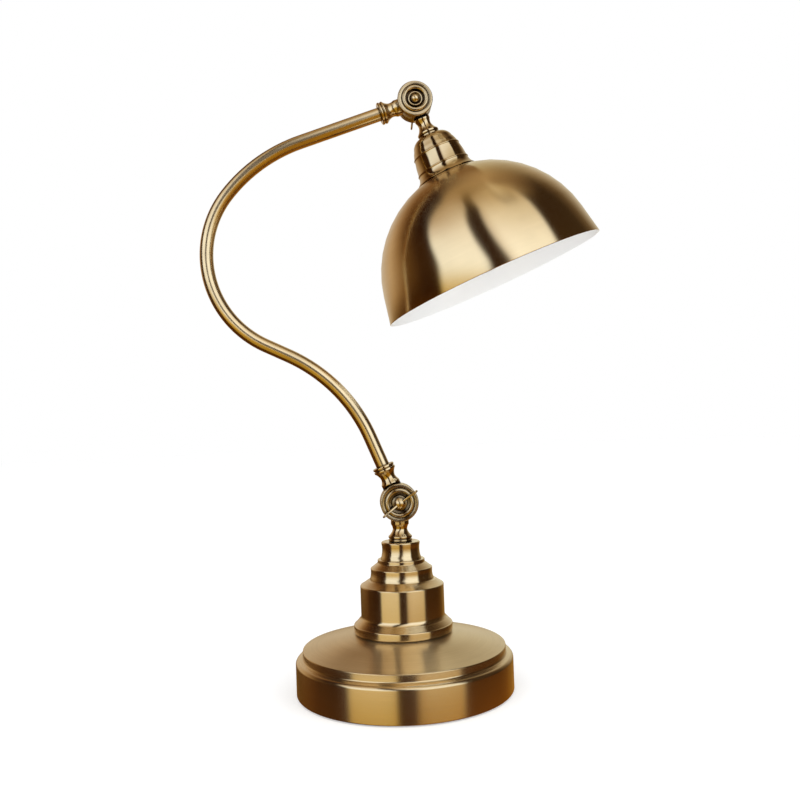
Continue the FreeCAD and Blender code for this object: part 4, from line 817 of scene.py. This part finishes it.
class LAMP_OT_studio(bpy.types.Operator):
    """Pale floor, soft lights, studio surroundings and camera"""
    bl_idname = "lamp.studio"
    bl_label = "Studio"

    def execute(self, context):
        self.floor(context)
        self.lights(context)
        self.surroundings(context)
        self.camera(context)
        context.scene.view_settings.view_transform = "Standard"
        return {"FINISHED"}

    def floor(self, context):
        clear_selection()
        bpy.ops.mesh.primitive_circle_add(vertices=96, radius=6.0, fill_type="NGON")
        ground = context.object
        ground.name = "floor"
        sh = Shader(bpy.data.materials.new("Pale floor"))
        matt = sh.add("ShaderNodeBsdfDiffuse", {"Color": (0.8, 0.8, 0.8, 1.0)}).outputs[0]
        glow = sh.add(
            "ShaderNodeEmission", {"Color": (1, 1, 1, 1), "Strength": 0.40}).outputs[0]
        lit = sh.add("ShaderNodeAddShader", {0: matt, 1: glow}).outputs[0]
        ground.data.materials.append(sh.close(lit))
        ground.visible_glossy = False

    def lights(self, context):
        level = context.scene.lamp_studio.key
        for name, azimuth, height in (("left", -38.0, 0.65), ("right", 40.0, 0.75)):
            angle = CAMERA_AZIMUTH - math.radians(90 - azimuth)
            place = Vector((math.cos(angle) * 1.3, math.sin(angle) * 1.3, height))
            aim = (Vector((0, 0, 0.25)) - place).to_track_quat("-Z", "Y").to_euler()
            bpy.ops.object.light_add(type="AREA", location=place, rotation=aim)
            lamp = context.object
            lamp.name = "soft_light_" + name
            lamp.data.shape = "RECTANGLE"
            lamp.data.size = 0.9
            lamp.data.size_y = 1.2
            lamp.data.energy = level
            lamp.visible_glossy = False
            lamp.visible_camera = False

    def surroundings(self, context):
        """White to the camera, and to the brass two tall soft boxes with dark gaps."""
        world = bpy.data.worlds.new("Studio")
        context.scene.world = world
        sh = Shader(world, "ShaderNodeOutputWorld")
        way = sh.add("ShaderNodeTexCoord").outputs["Generated"]
        turned_way = sh.add("ShaderNodeMapping", {
            "Vector": way, "Rotation": (0, 0, CAMERA_AZIMUTH)}, vector_type="POINT").outputs[0]
        axes = sh.add("ShaderNodeSeparateXYZ", {0: turned_way}).outputs
        height = axes[2]
        azimuth = sh.math("ARCTAN2", axes[0], sh.math("MULTIPLY", axes[1], -1.0))
        share = sh.math("ADD", sh.math("DIVIDE", azimuth, math.tau), 0.5)

        def by_height(low, high, to_low=0.0, to_high=1.0):
            return sh.spread(height, low, high, to_low, to_high)

        def by_azimuth(low, high, to_low=0.0, to_high=1.0):
            return sh.spread(share, low / 360 + 0.5, high / 360 + 0.5, to_low, to_high)

        def around(where, stops):
            return self.gradient(sh, where, [(stop / 360 + 0.5, tint) for stop, tint in stops])

        # The soft boxes lean to the left towards their tops.
        lean = sh.math(
            "ADD", by_height(0.15, 0.85, 0.0, 32 / 360), by_height(0.85, 1.0, 0.0, 40 / 360))
        lean = sh.math("MULTIPLY", lean, by_azimuth(25, 60, 1.0, 0.0))
        lean = sh.math("MULTIPLY", lean, by_azimuth(-180, -144))
        room = around(sh.math("ADD", share, lean), ROOM)
        heights = self.gradient(
            sh, by_height(-1.0, 1.0), [(stop / 2 + 0.5, tint) for stop, tint in HEIGHTS])
        lit = sh.blend(1.0, room, heights, "MULTIPLY")
        lit = sh.blend(by_height(-0.05, -0.2), lit, around(share, TABLE), "MULTIPLY")
        dim = sh.math("MULTIPLY", by_azimuth(-95, -20, 1.0, 0.1), by_height(0.35, 0.65))
        lit = sh.blend(dim, lit, (0.5, 0.36, 0.2, 1.0), "MULTIPLY")
        lit = sh.blend(by_height(0.84, 0.97, 0.0, 0.85), lit, around(share, CEILING))
        glow = sh.blend(by_azimuth(0, 108), (0.06, 0.02, 0.0, 1.0), (0.18, 0.06, 0.003, 1.0))
        mirrored = sh.blend(by_height(-0.2, -0.32), lit, glow, "ADD")
        path = sh.add("ShaderNodeLightPath").outputs
        fill = context.scene.lamp_studio.fill
        soft = sh.blend(path["Is Glossy Ray"], (fill, fill, fill, 1.0), mirrored)
        seen = sh.math("MAXIMUM", path["Is Camera Ray"], path["Is Transmission Ray"])
        shown = sh.blend(seen, soft, (1.0, 1.0, 1.0, 1.0))
        sh.close(sh.add("ShaderNodeBackground", {"Color": shown, "Strength": 1.0}).outputs[0])

    def gradient(self, sh, where, stops):
        """The colour at a place from 0 to 1, from stops of place and colour."""
        ramp = sh.add("ShaderNodeValToRGB", {0: where})
        points = ramp.color_ramp.elements
        while len(points) < len(stops):
            points.new(1.0)
        for point, (place, tint) in zip(points, stops):
            point.position = place
            point.color = colour(tint)
        return ramp.outputs[0]

    def camera(self, context):
        pan, pitch, roll = CAMERA_AZIMUTH, math.radians(1.075), math.radians(-2.024)
        forward = Vector((
            math.sin(pan) * math.cos(pitch), math.cos(pan) * math.cos(pitch), math.sin(pitch)))
        level = forward.cross(Vector((0, 0, 1))).normalized()
        upright = level.cross(forward)
        right = level * math.cos(roll) + upright * math.sin(roll)
        up = upright * math.cos(roll) - level * math.sin(roll)
        bpy.ops.object.camera_add()
        camera = context.object
        camera.name = "camera"
        turn = Matrix((right, up, -forward)).transposed()
        camera.matrix_world = Matrix.Translation(CAMERA_PLACE) @ turn.to_4x4()
        camera.data.sensor_width = 36.0
        camera.data.lens = 38.49
        camera.data.clip_start = 0.01
        context.scene.camera = camera


# ---------------------------------------------------------------- panel and registration


OPERATORS = (
    LAMP_OT_base, LAMP_OT_pedestal, LAMP_OT_knuckles, LAMP_OT_screws, LAMP_OT_arm, LAMP_OT_shade,
    LAMP_OT_cup, LAMP_OT_bulb, LAMP_OT_inner, LAMP_OT_studio)


class LAMP_PT_sidebar(bpy.types.Panel):
    """Lists the lamp's sizes, finishes and pieces in the sidebar"""
    bl_idname = "LAMP_PT_sidebar"
    bl_label = "Desk Lamp"
    bl_space_type = "VIEW_3D"
    bl_region_type = "UI"
    bl_category = "Desk Lamp"

    def draw(self, context):
        scene = context.scene
        for group in (scene.lamp_sizes, scene.lamp_finish, scene.lamp_studio):
            column = self.layout.column(align=True)
            for name in group.bl_rna.properties.keys():
                if name not in {"rna_type", "name"}:
                    column.prop(group, name)
        for operator in OPERATORS:
            self.layout.operator(operator.bl_idname)


CLASSES = (LampSizes, LampFinish, LampStudio) + OPERATORS + (LAMP_PT_sidebar,)


def register():
    for item in CLASSES:
        bpy.utils.register_class(item)
    bpy.types.Scene.lamp_sizes = bpy.props.PointerProperty(type=LampSizes)
    bpy.types.Scene.lamp_finish = bpy.props.PointerProperty(type=LampFinish)
    bpy.types.Scene.lamp_studio = bpy.props.PointerProperty(type=LampStudio)


def unregister():
    del bpy.types.Scene.lamp_studio
    del bpy.types.Scene.lamp_finish
    del bpy.types.Scene.lamp_sizes
    for item in reversed(CLASSES):
        bpy.utils.unregister_class(item)


def main():
    register()
    bpy.ops.lamp.base()
    bpy.ops.lamp.pedestal()
    bpy.ops.lamp.knuckles()
    bpy.ops.lamp.screws()
    bpy.ops.lamp.arm()
    bpy.ops.lamp.shade()
    bpy.ops.lamp.cup()
    bpy.ops.lamp.bulb()
    bpy.ops.lamp.inner()
    bpy.ops.lamp.studio()


if __name__ == "__main__":
    main()
